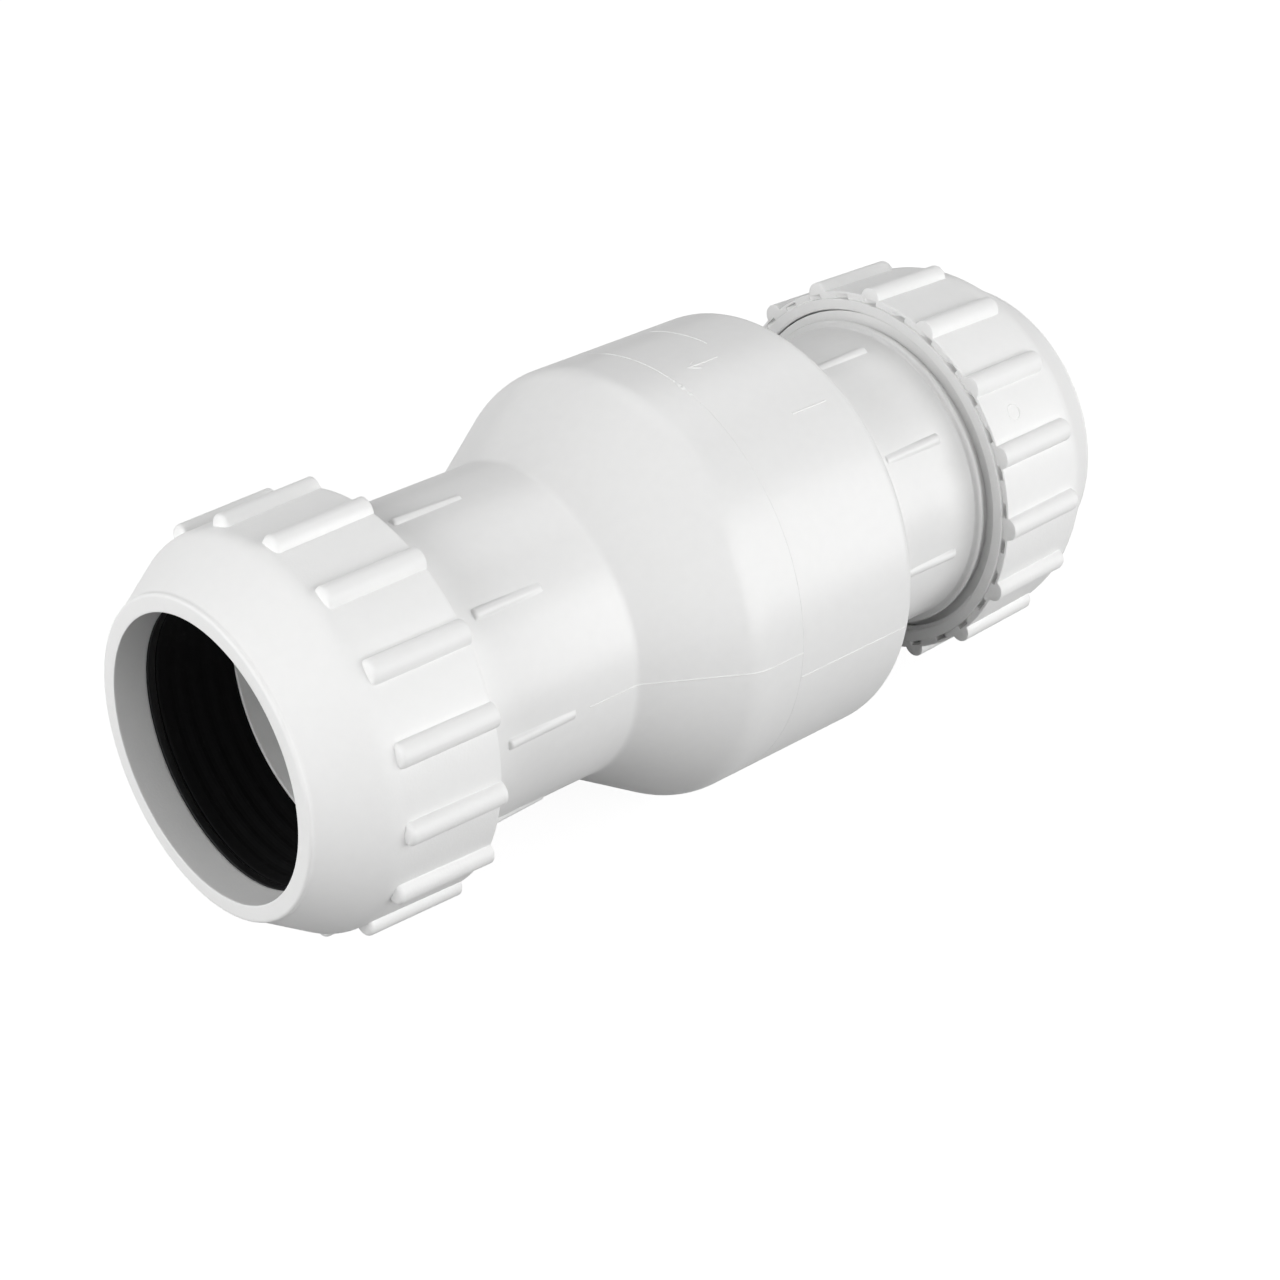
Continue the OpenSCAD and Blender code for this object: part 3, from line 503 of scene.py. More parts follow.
def thread_tree():
    """Sweeps a trapezoid along a right-hand helix about the Z axis.

    Side is 1 for an outside thread and -1 for an inside one.
    """
    name = "Thread along a helix"
    if name in bpy.data.node_groups:
        return bpy.data.node_groups[name]
    tree, given = geometry_tree(name, [(label, "NodeSocketFloat") for label in (
        "Radius", "Lead", "Turns", "Height", "Base", "Crest", "Sink", "Side", "Start Size", "End Size",
        "Run Out")])
    helix = add_node(tree, "GeometryNodeCurveSpiral", {
        "Resolution": 64, "Rotations": given["Turns"], "Start Radius": given["Radius"],
        "End Radius": given["Radius"], "Height": calc(tree, "MULTIPLY", given["Lead"], given["Turns"]),
        "Reverse": True})
    upright = add_node(tree, "GeometryNodeSetCurveNormal", {"Curve": helix.outputs[0]}, mode="Z_UP")
    along = add_node(tree, "GeometryNodeSplineParameter").outputs["Factor"]
    sizes = []
    for place, first in ((along, "Start Size"), (calc(tree, "SUBTRACT", 1.0, along), "End Size")):
        sizes.append(add_node(tree, "ShaderNodeMapRange", {
            "Value": place, "From Min": 0.0, "From Max": given["Run Out"],
            "To Min": given[first], "To Max": 1.0}, interpolation_type="SMOOTHSTEP").outputs[0])
    tapered = add_node(tree, "GeometryNodeSetCurveRadius", {
        "Curve": upright.outputs[0], "Radius": calc(tree, "MINIMUM", *sizes)})
    whole = calc(tree, "ADD", given["Height"], given["Sink"])
    outline = add_node(tree, "GeometryNodeCurvePrimitiveQuadrilateral", {
        "Height": whole, "Bottom Width": given["Base"], "Top Width": given["Crest"], "Offset": 0},
        mode="TRAPEZOID")
    middle = calc(tree, "SUBTRACT", calc(tree, "MULTIPLY", whole, 0.5), given["Sink"])
    turn = add_node(tree, "ShaderNodeCombineXYZ", {"Z": calc(tree, "MULTIPLY", given["Side"], -math.pi / 2)})
    shift = add_node(tree, "ShaderNodeCombineXYZ", {"X": calc(tree, "MULTIPLY", given["Side"], middle)})
    profile = add_node(tree, "GeometryNodeTransform", {
        "Geometry": outline.outputs[0], "Translation": shift.outputs[0], "Rotation": turn.outputs[0]})
    swept = add_node(tree, "GeometryNodeCurveToMesh", {
        "Curve": tapered.outputs[0], "Profile Curve": profile.outputs[0],
        "Scale": add_node(tree, "GeometryNodeInputRadius").outputs[0], "Fill Caps": True})
    return end_tree(tree, given, swept.outputs[0])


def line_tree():
    """Sweeps a round bead along the edges of a piece, as a fine raised line."""
    name = "Raised line"
    if name in bpy.data.node_groups:
        return bpy.data.node_groups[name]
    tree, given = geometry_tree(name, [("Radius", "NodeSocketFloat"), ("Uneven", "NodeSocketFloat")])
    curve = add_node(tree, "GeometryNodeMeshToCurve", {"Mesh": given["Geometry"]})
    spread = add_node(tree, "ShaderNodeTexNoise", {
        "Vector": add_node(tree, "GeometryNodeInputPosition").outputs[0], "Scale": 900.0, "Detail": 1.0})
    swing = calc(tree, "SUBTRACT", spread.outputs["Fac"], 0.5)
    size = calc(tree, "MULTIPLY_ADD", swing, given["Uneven"], 1.0)
    path = add_node(tree, "GeometryNodeSetCurveRadius", {"Curve": curve.outputs[0], "Radius": size})
    bead = add_node(tree, "GeometryNodeCurvePrimitiveCircle", {"Resolution": 8, "Radius": given["Radius"]})
    swept = add_node(tree, "GeometryNodeCurveToMesh", {
        "Curve": path.outputs[0], "Profile Curve": bead.outputs[0], "Scale": size, "Fill Caps": True})
    return end_tree(tree, given, swept.outputs[0])


def keep_result(piece):
    """Makes what a piece's modifiers give its plain mesh, and removes the modifiers."""
    graph = bpy.context.evaluated_depsgraph_get()
    graph.update()
    mesh = bpy.data.meshes.new_from_object(piece.evaluated_get(graph), depsgraph=graph)
    if not mesh.polygons:
        raise RuntimeError(f"{piece.name} has no faces")
    piece.modifiers.clear()
    old, piece.data = piece.data, mesh
    bpy.data.meshes.remove(old)
    mesh.name = piece.name


def run_tree(piece, tree, slot, **values):
    """Runs a tree on a piece with inputs given by name and the material of a slot, and keeps the result."""
    modifier = piece.modifiers.new(tree.name, "NODES")
    modifier.node_group = tree
    given = {key.replace("_", " ").title(): value for key, value in values.items()}
    given["Material"] = slot_material(slot)
    for item in tree.interface.items_tree:
        if item.in_out == "INPUT" and item.name in given:
            modifier[item.identifier] = given.pop(item.name)
    if given:
        raise RuntimeError(f"{tree.name} has no input {sorted(given)}")
    keep_result(piece)
    piece.data.set_sharp_from_angle(angle=SHARP_EDGE)


def finish_piece(piece, body, matrix, node=None):
    """Puts a finished piece in its place on a body, instead of a CAD node if one is named."""
    piece.data.transform(matrix)
    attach(piece, body)
    if node:
        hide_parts(node)


def place_matrix(end):
    """Turns a piece drawn along Z from a nut's face into its place at that end of the valve."""
    face, tilt = (OUTLET_FACE, 90) if end == "outlet" else (INLET_FACE, -90)
    return Matrix.Translation((face, 0, 0)) @ Matrix.Rotation(math.radians(tilt), 4, "Y")


def grain_group():
    """Fine moulded grain and slow mottling, shared by the plastics and the rubber."""
    name = "Moulded grain"
    if name in bpy.data.node_groups:
        return bpy.data.node_groups[name]
    tree = bpy.data.node_groups.new(name, "ShaderNodeTree")
    for label in ("Grain Size", "Mottle Size", "Roughness", "Uneven"):
        tree.interface.new_socket(label, in_out="INPUT", socket_type="NodeSocketFloat")
    for label in ("Height", "Roughness", "Mottle"):
        tree.interface.new_socket(label, in_out="OUTPUT", socket_type="NodeSocketFloat")
    given = tree.nodes.new("NodeGroupInput").outputs
    place = add_node(tree, "ShaderNodeTexCoord").outputs["Object"]
    fine, slow = [add_node(tree, "ShaderNodeTexNoise", {
        "Vector": place, "Scale": given[size], "Detail": detail}).outputs["Fac"]
        for size, detail in (("Grain Size", 3.0), ("Mottle Size", 4.0))]
    swing = calc(tree, "SUBTRACT", slow, 0.5)
    uneven = calc(tree, "MULTIPLY_ADD", swing, given["Uneven"], given["Roughness"])
    add_node(tree, "NodeGroupOutput", {"Height": fine, "Roughness": uneven, "Mottle": slow})
    return tree


def new_material(name):
    """A new material. Returns it, its node tree and the inputs of its shader."""
    material = bpy.data.materials.new(name)
    material.use_nodes = True
    return material, material.node_tree, material.node_tree.nodes["Principled BSDF"].inputs


def moulded_material(name, base, roughness, grain, bump, mottle, specular):
    """Moulded plastic or rubber with fine grain and slow mottling."""
    if name in bpy.data.materials:
        return bpy.data.materials[name]
    material, tree, shader = new_material(name)
    shader["IOR"].default_value = 1.5
    shader["Specular IOR Level"].default_value = specular
    group = add_node(tree, "ShaderNodeGroup", {
        "Grain Size": grain, "Mottle Size": MOTTLE_SIZE, "Roughness": roughness, "Uneven": UNEVEN_SHEEN},
        node_tree=grain_group()).outputs
    shade = add_node(tree, "ShaderNodeMix", {
        "Factor": group["Mottle"], "A": (*[c * (1 - mottle) for c in base], 1),
        "B": (*[min(c * (1 + mottle), 1) for c in base], 1)}, data_type="RGBA")
    relief = add_node(tree, "ShaderNodeBump", {
        "Height": group["Height"], "Strength": bump, "Distance": 0.05 * MM})
    tree.links.new(shade.outputs["Result"], shader["Base Color"])
    tree.links.new(group["Roughness"], shader["Roughness"])
    tree.links.new(relief.outputs["Normal"], shader["Normal"])
    return material


def steel_material():
    """Stainless steel with fine drawn lines."""
    name = "Stainless steel"
    if name in bpy.data.materials:
        return bpy.data.materials[name]
    material, tree, shader = new_material(name)
    shader["Metallic"].default_value = 1.0
    shader["Base Color"].default_value = (*settings().finish.steel, 1)
    place = add_node(tree, "ShaderNodeMapping", {
        "Vector": add_node(tree, "ShaderNodeTexCoord").outputs["Object"], "Scale": (1.0, 0.06, 1.0)})
    lines = add_node(tree, "ShaderNodeTexNoise", {
        "Vector": place.outputs[0], "Scale": 2600.0, "Detail": 2.0}).outputs["Fac"]
    rough = add_node(tree, "ShaderNodeMapRange", {"Value": lines, "To Min": 0.2, "To Max": 0.36})
    relief = add_node(tree, "ShaderNodeBump", {"Height": lines, "Strength": 0.15, "Distance": 0.02 * MM})
    tree.links.new(rough.outputs[0], shader["Roughness"])
    tree.links.new(relief.outputs["Normal"], shader["Normal"])
    return material


def slot_material(slot):
    """The material of one of the record's slots.

    A moulded one has a name, a colour, a roughness, a grain size, a bump, a mottle and a specular level.
    """
    f = settings().finish
    if slot == "stainless_steel":
        return steel_material()
    return moulded_material(*{
        "housing_plastic": ("Housing plastic", f.housing, f.housing_roughness, 1400.0, 0.12, 0.02, 0.5),
        "nut_plastic": ("Nut plastic", f.nut, f.nut_roughness, 2400.0, 0.45, 0.015, 0.5),
        "seal_rubber": ("Seal rubber", f.rubber, f.rubber_roughness, 2000.0, 0.3, 0.2, 0.12),
        "slip_ring_plastic": ("Slip ring plastic", f.ring, f.ring_roughness, 1600.0, 0.15, 0.1, 0.25),
    }[slot])


def nut_side(n, z):
    """Radius of a nut's cone, shoulder and side at a distance from its face, without the ribs."""
    top = n.side - n.blend
    face = n.bore + n.face_width
    end_r = top + n.blend * math.cos(n.cone_angle)
    end_z = n.face_height + (end_r - face) / math.tan(n.cone_angle)
    centre_z = end_z + n.blend * math.sin(n.cone_angle)
    if z < end_z:
        return face + (z - n.face_height) * math.tan(n.cone_angle)
    if z < centre_z:
        return top + math.sqrt(n.blend ** 2 - (centre_z - z) ** 2)
    return n.side + (n.rim - n.side) * (z - centre_z) / (NUT_LENGTH - n.rim_step - centre_z)


def nut_rib(n, z, across):
    """Radius of a grip rib's surface at a distance from the nut's face and across the rib's middle."""
    start = NUT_LENGTH - n.rim_step - n.rib_length
    lean = (n.rim - n.side) / (NUT_LENGTH - n.lip)
    middle = n.side + n.rib_rise - n.rib_rod + (z - start) * lean
    inside = z - start
    if inside < 0:
        rod, low = n.rib_rod - n.rib_end, RIB_DROP * inside
    elif inside < n.rib_end:
        rod, low = n.rib_rod - n.rib_end + math.sqrt(n.rib_end ** 2 - (n.rib_end - inside) ** 2), 0
    else:
        rod, low = n.rib_rod, 0
    if across > rod:
        return middle - RIB_DROP * (across - rod) + low
    return middle + math.sqrt(rod ** 2 - across ** 2) + low


def nearest(turn, pitch):
    """Angle from the nearest of a row of evenly spaced places."""
    return (turn + pitch / 2) % pitch - pitch / 2


def nut_column(n, turn):
    """Closed outline of a nut at an angle from the middle of a rib, as distance from its face and radius."""
    across = abs(nearest(turn, math.tau / n.ribs)) * n.side
    rim_z = NUT_LENGTH - n.rim_step
    start = rim_z - n.rib_length
    face, cone_row = n.bore + n.face_width, 6 * MM

    # The first and the last corner only give the roundings next to them their direction
    front = soften([(cone_row, n.bore, 0, 0), (0, n.bore, 0.15 * MM, 2), (0, face, 0.58 * MM, 5),
                    (n.face_height, face, 1.0 * MM, 3), (cone_row, nut_side(n, cone_row), 0, 0)])[1:-1]

    rows = [d * MM for d in SHOULDER_ROWS] + [start + d * MM for d in RIB_END_ROWS]
    rows += [start + n.rib_length * t for t in RIB_ROWS] + [rim_z]
    side = [(z, rounded_max(nut_side(n, z), nut_rib(n, z, across), n.rib_fillet)) for z in rows]
    out, edge = side.pop()[1], n.rim_edge
    rim = [(rim_z - edge, out), (rim_z - 0.3 * edge, out - 0.3 * edge), (rim_z, out - edge)]

    pocket_in = n.ring + n.pocket_gap
    pocket_out = pocket_in + n.pocket_width
    along = nearest(turn, math.tau / n.pockets) / n.pocket_angle + 0.5
    if 0 <= along <= 1:
        floor = rim_z - max(n.pocket_depth * (1 - along), n.pocket_least)
        rim += [(rim_z, pocket_out + n.pocket_edge), (rim_z - n.pocket_edge, pocket_out), (floor, pocket_out),
                (floor, pocket_in)]
    else:
        groove = rim_z - n.groove_depth
        rim += [(rim_z, pocket_in + 0.2 * MM), (rim_z - 0.03 * MM, pocket_in + 0.14 * MM),
                (groove, pocket_in + 0.1 * MM), (groove, pocket_in)]

    seat_cone = n.lip + (n.thread - n.seat) / math.tan(n.cone_angle)
    inside = soften([
        (rim_z - 2 * MM, n.ring, 0, 0), (NUT_LENGTH, n.ring, 0.12 * MM, 2),
        (NUT_LENGTH, n.thread + n.rim_chamfer, 0.1 * MM, 1),
        (NUT_LENGTH - n.rim_chamfer, n.thread, 0.1 * MM, 1), (seat_cone, n.thread, 0.4 * MM, 2),
        (n.lip, n.seat, 0.3 * MM, 2), (n.lip, n.bore, 0.25 * MM, 2), (1.2 * MM, n.bore, 0, 0)])[1:]
    return [Vector(p) for p in front + side + rim] + inside


def nut_angles(n):
    """Angles of a nut's columns over half a turn, close together at the edges of the ribs and the pockets.

    A pocket's edge has a column half_edge before and one after it. Other columns keep least_gap from those.
    """
    first, last = -math.pi / n.ribs, math.pi - math.pi / n.ribs
    half_edge, margin, least_gap = 0.0008, 0.0012, 0.0011
    edges = [k * math.tau / n.pockets + side * n.pocket_angle / 2 + step
             for k in range(-1, n.pockets // 2 + 1) for side in (-1, 1) for step in (-half_edge, half_edge)]
    others = [k * math.tau / n.ribs + side * d * MM / n.side
              for k in range(n.ribs // 2) for side in (-1, 1) for d in RIB_COLUMNS]
    others += [first + math.pi * k / (n.ribs // 2) for k in range(n.ribs // 2 + 1)]
    angles = sorted(a for a in edges if first + margin < a < last - margin)
    for a in sorted(set(others)):
        if first <= a <= first + math.pi and min(abs(a - b) for b in angles) > least_gap:
            angles.append(a)
    return sorted(angles)


def build_nut(end):
    """One compression nut, from half a turn that holds half of its ribs and rim pockets."""
    n = settings().nut
    turn = n.outlet_turn if end == "outlet" else n.inlet_turn
    piece = turned_sector(end + "_nut_body", nut_angles(n), lambda a: nut_column(n, a))
    run_tree(piece, repeat_tree(), "nut_plastic", count=2, weld_distance=WELD_DISTANCE)
    place = place_matrix(end) @ Matrix.Rotation(turn, 4, "Z")
    finish_piece(piece, end + "_nut", place, end + "_nut")


def socket_outline(h):
    """Outside of a socket from its mouth to its plain part, as distance from the nut's face and radius."""
    root, bead_steps, foot_steps = h.thread_root, 10, 4
    middle = root + h.bead_rise - h.bead
    first = -math.acos((root - middle) / h.bead)
    line = [(h.mouth_at, h.mouth), (h.mouth_at, root - h.mouth_chamfer), (h.mouth_at + h.mouth_chamfer, root),
            (h.mouth_at + 6 * MM, root), (h.bead_at + h.bead * math.sin(first) - 0.2 * MM, root)]
    for k in range(bead_steps + 1):
        a = first + (math.pi / 2 - first) * k / bead_steps
        line.append((h.bead_at + h.bead * math.sin(a), middle + h.bead * math.cos(a)))
    for k in range(foot_steps + 1):
        a = math.pi / 2 * k / foot_steps
        line.append((h.bead_at + h.bead + h.bead_foot * (1 - math.cos(a)),
                     h.socket + h.bead_foot * (1 - math.sin(a))))
    return line


def socket_rib(h, at, rib_length, z, across):
    """Radius of a thin socket rib's surface, which falls towards its far end."""
    inside = z - at
    t = min(max(inside / rib_length, 0), 1)
    middle = h.socket + h.rib_rise - h.rib_fall * t - h.rib_rod
    rod, low = h.rib_rod, 0
    for gap, round_off in ((inside, h.rib_near_end), (rib_length - inside, h.rib_far_end)):
        if gap < 0:
            low += round_off - THIN_RIB_DROP * gap
        elif gap < round_off:
            low += round_off - math.sqrt(round_off ** 2 - (round_off - gap) ** 2)
    if across > rod:
        return middle - THIN_RIB_DROP * (across - rod) - low
    return middle + math.sqrt(rod ** 2 - across ** 2) - low


def rib_rows(h, at, rib_length):
    """Places of the rows that a thin rib needs, close together at its ends."""
    middle = [at + rib_length * t for t in THIN_RIB_ROWS]
    return ([at + d * MM for d in THIN_RIB_END_ROWS] + middle
            + [at + rib_length - d * MM for d in reversed(THIN_RIB_END_ROWS)])


def ribbed_socket(h, at, rib_length, turn):
    """Outside of a socket whose plain part is lifted over a thin rib, without the corner at its mouth."""
    across = abs(turn) * h.socket
    beside = 0.4 * MM
    lifted = []
    for z, r in socket_outline(h)[1:] + [(z, h.socket) for z in rib_rows(h, at, rib_length)]:
        if at - beside < z < at + rib_length + beside:
            r = rounded_max(r, socket_rib(h, at, rib_length, z, across), h.rib_fillet)
        lifted.append(Vector((z, r)))
    return lifted


def housing_angles(h):
    """Angles of a housing's columns across one thin rib's pitch, close together at the rib."""
    steps, half = 11, math.pi / h.ribs
    near = [d * MM / h.socket for d in THIN_RIB_COLUMNS]
    far = [near[-1] + (half - near[-1]) * (k + 1) / steps for k in range(steps)]
    return sorted({0.0} | {sign * a for a in near + far for sign in (-1, 1)})


def joint_rows(h, joint):
    """Outside of a housing where it ends at the joint line."""
    chamfer = joint - h.joint_chamfer
    return [(chamfer - EDGE_ROW, CHAMBER, 0, 0), (chamfer, CHAMBER, 0, 0),
            (joint, CHAMBER - h.joint_chamfer, 0, 0)]


def socket_bore(h):
    """Inside of a socket, from the flow passage out to its mouth."""
    return [(h.stop_at, h.flow, 0.3 * MM, 2), (h.stop_at, PIPE_BORE, 0.3 * MM, 2),
            (h.gasket_end, PIPE_BORE, 0.2 * MM, 2), (h.gasket_end, h.mouth, 0, 0),
            (h.mouth_at, h.mouth, 0, 0)]


def outlet_housing_column(h, turn):
    """Closed outline of the outlet housing, as distance from the outlet nut's face and radius.

    The first corner only gives the rounding next to it its direction, here and for the inlet housing.
    """
    zero = -OUTLET_FACE
    foot, joint, carrier = zero - h.cone_foot, zero + h.joint, zero + h.carrier_face
    tan = math.tan(h.cone_angle)
    top = foot + (CHAMBER - h.socket) / tan
    inner_foot = foot - (h.socket - h.foot_wall - h.flow) / tan
    inner_top = inner_foot + (h.chamber_inside - h.flow) / tan
    rest = soften([
        (foot - 8 * MM, h.socket, 0, 0), (foot, h.socket, h.foot_blend, 5), (top, CHAMBER, h.cone_blend, 10),
        *joint_rows(h, joint), (joint, h.spigot, 0, 0), (carrier, h.spigot, 0, 0),
        (carrier, h.chamber_inside, 0.4 * MM, 2), (inner_top, h.chamber_inside, h.cone_blend, 5),
        (inner_foot, h.flow, 2 * MM, 3), *socket_bore(h)])
    return ribbed_socket(h, h.outlet_rib_at, h.outlet_rib_length, turn) + rest[1:]


def inlet_housing_column(h, turn):
    """Closed outline of the inlet housing, as distance from the inlet nut's face and radius."""
    joint, rear = INLET_FACE - h.joint, INLET_FACE - h.rear
    wall = rear + h.rear_wall
    rest = soften([
        (rear - 6 * MM, h.socket, 0, 0), (rear, h.socket, 1.5 * MM, 4), (rear, CHAMBER, h.rear_edge, 6),
        *joint_rows(h, joint), (joint, h.chamber_bore, 0, 0), (wall, h.chamber_bore, 0.4 * MM, 2),
        (wall, h.flow, 0.3 * MM, 2), *socket_bore(h)])
    return ribbed_socket(h, h.inlet_rib_at, h.inlet_rib_length, turn) + rest[1:]


def build_housing(end):
    """One housing, from a sector that holds one thin socket rib."""
    h = settings().housing
    column, turn = (outlet_housing_column, -h.outlet_turn) if end == "outlet" else (inlet_housing_column, 0)
    piece = turned_sector(end + "_housing_body", housing_angles(h), lambda a: column(h, a))
    run_tree(piece, repeat_tree(), "housing_plastic", count=h.ribs, weld_distance=WELD_DISTANCE)
    place = Matrix.Rotation(turn, 4, "X") @ place_matrix(end)
    finish_piece(piece, "valve_body", place, end + "_housing")


def build_thread(end, part, radius, height, turns, last, phase, end_size, taper):
    """The thread of a nut or a socket. last is its end's distance from the nut's face, phase its angle."""
    t = settings().thread
    body, slot, side = "valve_body", "housing_plastic", 1.0
    if part == "nut":
        body, slot, side = end + "_nut", "nut_plastic", -1.0
    piece = new_piece(f"{end}_{part}_thread", [], [], [])
    run_tree(piece, thread_tree(), slot, radius=radius, lead=t.lead, turns=turns, height=height, base=t.base,
             crest=t.crest, sink=t.sink, side=side, start_size=t.start_size, end_size=end_size, run_out=taper)
    turn = Matrix.Rotation(phase - turns * math.tau, 4, "Z")
    start = Matrix.Translation((0, 0, last - t.lead * turns)) @ turn
    finish_piece(piece, body, place_matrix(end) @ start)


def build_threads(end):
    """The socket's outside thread and the nut's inside thread."""
    n, h, t = settings().nut, settings().housing, settings().thread
    blunt = t.nut_start + (n.outlet_turn if end == "outlet" else n.inlet_turn)
    build_thread(end, "nut", n.thread, t.nut_height, t.nut_turns, t.nut_end, blunt,
                 t.nut_end_size, t.nut_taper)
    ahead = (t.socket_end - (t.nut_end - t.offset)) / t.lead * math.tau
    build_thread(end, "socket", h.thread_root, t.socket_height, t.socket_turns, t.socket_end, blunt + ahead,
                 t.socket_end_size, t.socket_taper)


def turned_piece(name, node, body, slot, matrix, column, repeats=24, steps=4, open_rows=0):
    """A piece turned about its matrix's Z axis. column is an outline, or a function of the angle."""
    angles = [math.tau / repeats * k / steps for k in range(steps + 1)]
    piece = turned_sector(name, angles, column if callable(column) else lambda a: column, open_rows)
    run_tree(piece, repeat_tree(), slot, count=repeats, weld_distance=WELD_DISTANCE)
    finish_piece(piece, body, matrix, node)


def ring_outline(low, high, inside, outside, rounding):
    """Outline of a plain ring with rounded edges."""
    return soften([(low, inside, rounding, 3), (low, outside, rounding, 3), (high, outside, rounding, 3),
                   (high, inside, rounding, 3)])


def gasket_outline(s):
    """Outline of a gasket with sealing lips in its bore, as distance from the nut's face and radius."""
    plain_end, chamfer, lead_in = 1.6 * MM, 0.6 * MM, 0.35 * MM
    last = s.gasket_foot - plain_end
    pitch = (last - (s.gasket_at + plain_end)) / s.lips
    corners = [(s.gasket_at, s.gasket_bore, lead_in, 3), (s.gasket_at, s.gasket_side - chamfer, 0.2 * MM, 2),
               (s.gasket_at + chamfer, s.gasket_side, 0.2 * MM, 2),
               (s.gasket_foot, s.gasket_side, 0.3 * MM, 3), (s.gasket_foot, s.gasket_bore, lead_in, 3)]
    for k in range(s.lips):
        for part, depth in ((0.0, 0), (0.3, s.groove), (0.55, s.groove), (0.8, 0)):
            corners.append((last - k * pitch - part * pitch, s.gasket_bore + depth, 0.12 * MM, 2))
    return soften(corners)


def build_seals():
    """The gaskets, their slip rings and the seal behind the seat carrier."""
    s = settings().seals
    ring = ring_outline(s.ring_at, s.ring_at + s.ring_length, s.ring_bore, s.ring_side, 0.25 * MM)
    for end in ("outlet", "inlet"):
        turned_piece(end + "_gasket_ring", end + "_gasket", "valve_body", "seal_rubber", place_matrix(end),
                     gasket_outline(s))
        turned_piece(end + "_slip_ring_body", end + "_slip_ring", end + "_ring", "slip_ring_plastic",
                     place_matrix(end), ring)
    steps = 16
    around = [math.tau * k / steps for k in range(steps)]
    cord = [Vector((s.seal_at + s.seal_cord * math.sin(a), s.seal_ring + s.seal_cord * math.cos(a)))
            for a in around]
    turned_piece("carrier_seal_ring", "carrier_seal", "valve_body", "seal_rubber",
                 Matrix.Rotation(math.radians(90), 4, "Y"), cord)


def hexagon(half, a):
    """Distance from the middle of a hexagon to its side at an angle."""
    return half / math.cos(nearest(a, math.pi / 3))


def hex_nut_column(f, a):
    """Outline of the retainer's nut at an angle, with both ends chamfered."""
    side, face, slope, sink = hexagon(f.nut_flats, a), f.nut_flats - 0.12 * MM, 1.73, 0.3 * MM
    ends = [(d * MM, min(side, face + slope * d * MM)) for d in (0, 0.08, 0.16, 0.24, 0.32, 0.4)]
    line = [(f.washer_top, f.hole + sink)] + [(f.washer_top + d, r) for d, r in ends]
    line += [(f.nut_top - d, r) for d, r in reversed(ends)] + [(f.nut_top, f.hole + sink)]
    return line + [(f.nut_top - sink, f.hole), (f.washer_top + sink, f.hole)]


def screw_column(f, a):
    """Outline of the screw at an angle, from its hexagon recess to its end."""
    under = f.facing_at - f.retainer_thickness
    top = under - f.head_height
    recess, deep, edge, point = hexagon(f.recess, a), f.recess_depth, 0.1 * MM, 0.6 * MM
    line = [(top + deep, 0), (top + deep - 0.15 * MM, recess - 0.25 * MM), (top + deep / 3, recess),
            (top + edge, recess), (top, recess + edge)]
    dome, start, steps = f.head_height - 0.35 * MM, f.recess + 0.75 * MM, 6
    for k in range(steps + 1):
        t = math.pi / 2 * k / steps
        line.append((top + dome * (1 - math.cos(t)), start + (f.head - start) * math.sin(t)))
    return line + [(under, f.head - 0.05 * MM), (under, f.screw), (f.shank, f.screw),
                   (f.shank + 0.3 * MM, f.screw_root), (f.screw_end - point, f.screw_root),
                   (f.screw_end, f.screw_root - point), (f.screw_end, 0)]


def softened_copy(name, node, body, slot):
    """A merged copy of a CAD node with its edges rounded.

    Its flat faces are joined, and cut up again into faces without hollows, so that the rounding has room.
    """
    mesh = frame["nodes"][node].data.copy()
    shape = bmesh.new()
    shape.from_mesh(mesh)
    bmesh.ops.remove_doubles(shape, verts=shape.verts, dist=0.001 * MM)
    bmesh.ops.dissolve_limit(shape, angle_limit=math.radians(1), verts=shape.verts, edges=shape.edges)
    bmesh.ops.connect_verts_concave(shape, faces=shape.faces)
    shape.to_mesh(mesh)
    shape.free()
    piece = add_object(name, mesh)
    bevel = piece.modifiers.new("Rounded edges", "BEVEL")
    bevel.width = settings().flapper.edge
    bevel.segments = 2
    bevel.use_clamp_overlap = False
    bevel.limit_method = "ANGLE"
    bevel.angle_limit = math.radians(40)
    keep_result(piece)
    piece.data.materials.clear()
    piece.data.materials.append(slot_material(slot))
    piece.data.shade_smooth()
    piece.data.set_sharp_from_angle(angle=SHARP_EDGE)
    finish_piece(piece, body, Matrix(), node)


